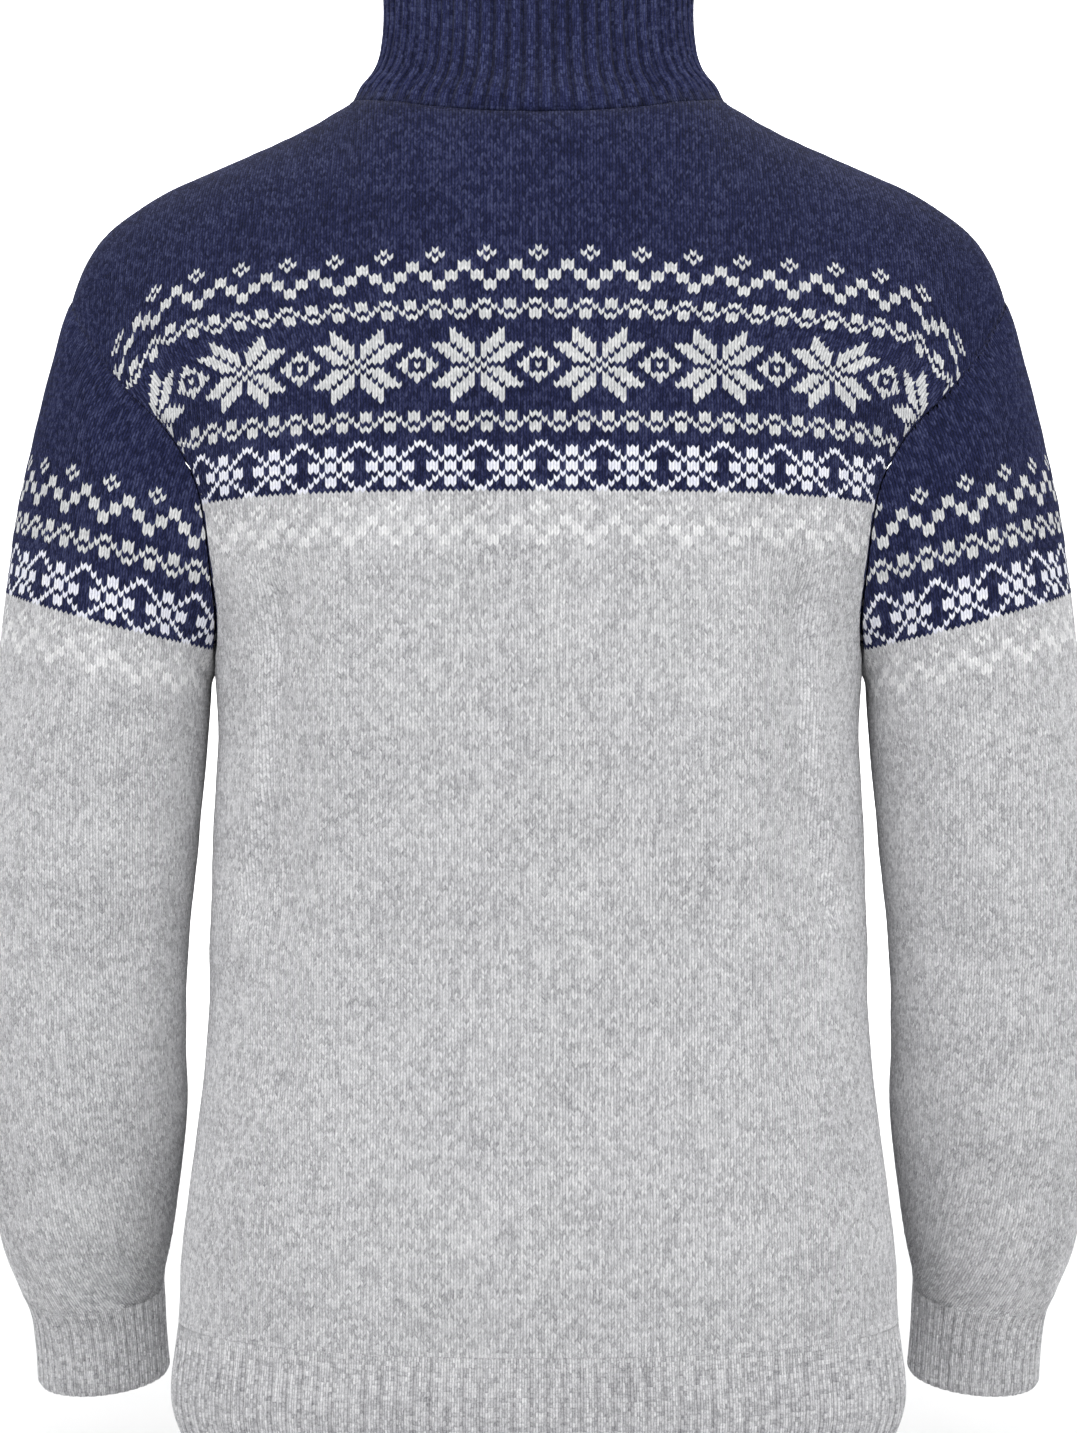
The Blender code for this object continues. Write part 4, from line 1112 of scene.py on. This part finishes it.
def zip_metal():
    """Satin metal with fine scratches."""
    material, tree, shader = shader_of("zip_satin_metal")
    place = node(tree, "ShaderNodeTexCoord").outputs["Object"]
    moved = node(tree, "ShaderNodeMapping", Vector=place, Scale=(900.0, 900.0, 90.0)).outputs[0]
    grain = node(tree, "ShaderNodeTexNoise", Vector=moved, Scale=1.0, Detail=3.0).outputs["Fac"]
    ramp = coloured(tree, grain, (0.30, 0.30, 0.32), (0.55, 0.55, 0.57))
    tree.links.new(ramp.outputs[0], shader.inputs["Base Color"])
    tree.links.new(maths(tree, "MULTIPLY_ADD", grain, 0.25, 0.22), shader.inputs["Roughness"])
    bumped(tree, shader, grain, 0.15, 0.0001)
    shader.inputs["Metallic"].default_value = 1.0
    return material


# Stage


def add_stage():
    """A pale floor that rises behind the sweater, soft light and the camera."""
    scene = bpy.context.scene
    profile = [(FLOOR_HALF, 0.0)]
    for angle in np.linspace(0, pi / 2, 12):
        profile.append((WALL_PLACE + SWEEP * (1 - np.sin(angle)), SWEEP * (1 - np.cos(angle))))
    profile.append((WALL_PLACE, WALL_HEIGHT))
    points = [(x, y, z + FLOOR_LEVEL) for y, z in profile for x in (-FLOOR_HALF, FLOOR_HALF)]
    faces = [(2 * i, 2 * i + 1, 2 * i + 3, 2 * i + 2) for i in range(len(profile) - 1)]
    mesh = bpy.data.meshes.new("floor")
    mesh.from_pydata(points, [], faces)
    mesh.shade_smooth()
    material, tree, shader = shader_of("pale_floor")
    place = node(tree, "ShaderNodeTexCoord").outputs["Object"]
    grain = node(tree, "ShaderNodeTexNoise", Vector=place, Scale=3.0).outputs["Fac"]
    ramp = coloured(tree, grain, (0.86, 0.86, 0.86), (0.90, 0.90, 0.90))
    tree.links.new(ramp.outputs[0], shader.inputs["Base Color"])
    shader.inputs["Roughness"].default_value = 0.9
    mesh.materials.append(material)
    add_object("floor", mesh)
    scene.world = bpy.data.worlds.new("studio")
    scene.world.use_nodes = True
    light = scene.world.node_tree.nodes["Background"].inputs
    light[0].default_value, light[1].default_value = (1.0, 1.0, 1.0, 1), WORLD_LIGHT
    scene.view_settings.view_transform = "Standard"
    for name, place, aim, size, power in LIGHTS[1:]:
        lamp = bpy.data.lights.new(name, "AREA")
        lamp.shape, lamp.size, lamp.energy = "DISK", size, power
        item = add_object(name, lamp)
        item.location = place
        item.rotation_euler = (Vector(aim) - Vector(place)).to_track_quat("-Z", "Y").to_euler()
        item.visible_camera = False
    lens = bpy.data.cameras.new("camera")
    lens.sensor_fit, lens.sensor_height, lens.lens = "VERTICAL", 36.0, 36.0 * CAMERA_AWAY / FRAME_HEIGHT
    scene.camera = add_object("camera", lens)
    scene.camera.location = (0, CAMERA_AWAY, CAMERA_HEIGHT)
    scene.camera.rotation_euler = (pi / 2, 0, pi)


def main():
    yarn = [knit(*row) for row in YARNS[1:]]
    plain = yarn[: SOFT + 1]
    for side in ("back", "front"):
        item = add_cloth(f"knit_{side}", panel(side), plain)
        dress(item, f"{side}_panel", slot="heather_knit", flat=PANEL_FLAT, area=PANEL_AREA)
    left = sleeve()
    for end, cloth in (("left", left), ("right", mirrored(left))):
        item = add_cloth(f"knit_sleeve_{end}", cloth, plain)
        dress(item, f"sleeve_{end}", slot="heather_knit", flat=SLEEVE_FLAT, area=SLEEVE_AREA)
    for side in ("back", "front"):
        base = slanted_rows(hem(side), HEM_COURSES)
        item = add_band(f"rib_hem_{side}", base, normals_of(base), HEM_RELIEF, False, "first",
                        yarn[HEATHER_RIB])
        dress(item, f"hem_{side}", slot="heather_knit", flat=HEM_FLAT)
    base = slanted_rows(cuff(), CUFF_COURSES)
    ways = unit(normals_of(np.concatenate([base[:, -1:], base, base[:, :1]], axis=1))[:, 1:-1])
    for end, sign in (("left", 1), ("right", -1)):
        grid, way = (part[:, ::sign] * [sign, 1, 1] for part in (base, ways))
        item = add_band(f"rib_cuff_{end}", grid, way, CUFF_RELIEF, True, "first", yarn[HEATHER_RIB])
        dress(item, f"cuff_{end}", slot="heather_knit", flat=CUFF_FLAT)
    base = slanted_rows(collar(), COLLAR_COURSES)
    item = add_band("rib_collar", base, normals_of(base), COLLAR_RELIEF, False, "last", yarn[NAVY_RIB],
                    sink=0.0)
    dress(item, "collar", slot="navy_rib", flat=COLLAR_FLAT)
    add_seams(yarn)
    metal, weave, line = zip_metal(), tape_weave(), zip_line()
    add_tape(1, line, weave)
    add_tape(-1, line, weave)
    add_teeth(line, metal)
    add_hardware("slider", "zip_slider", "garment", metal)
    add_hardware("pull", "zip_pull", "pull_tab", metal)
    add_stage()


main()
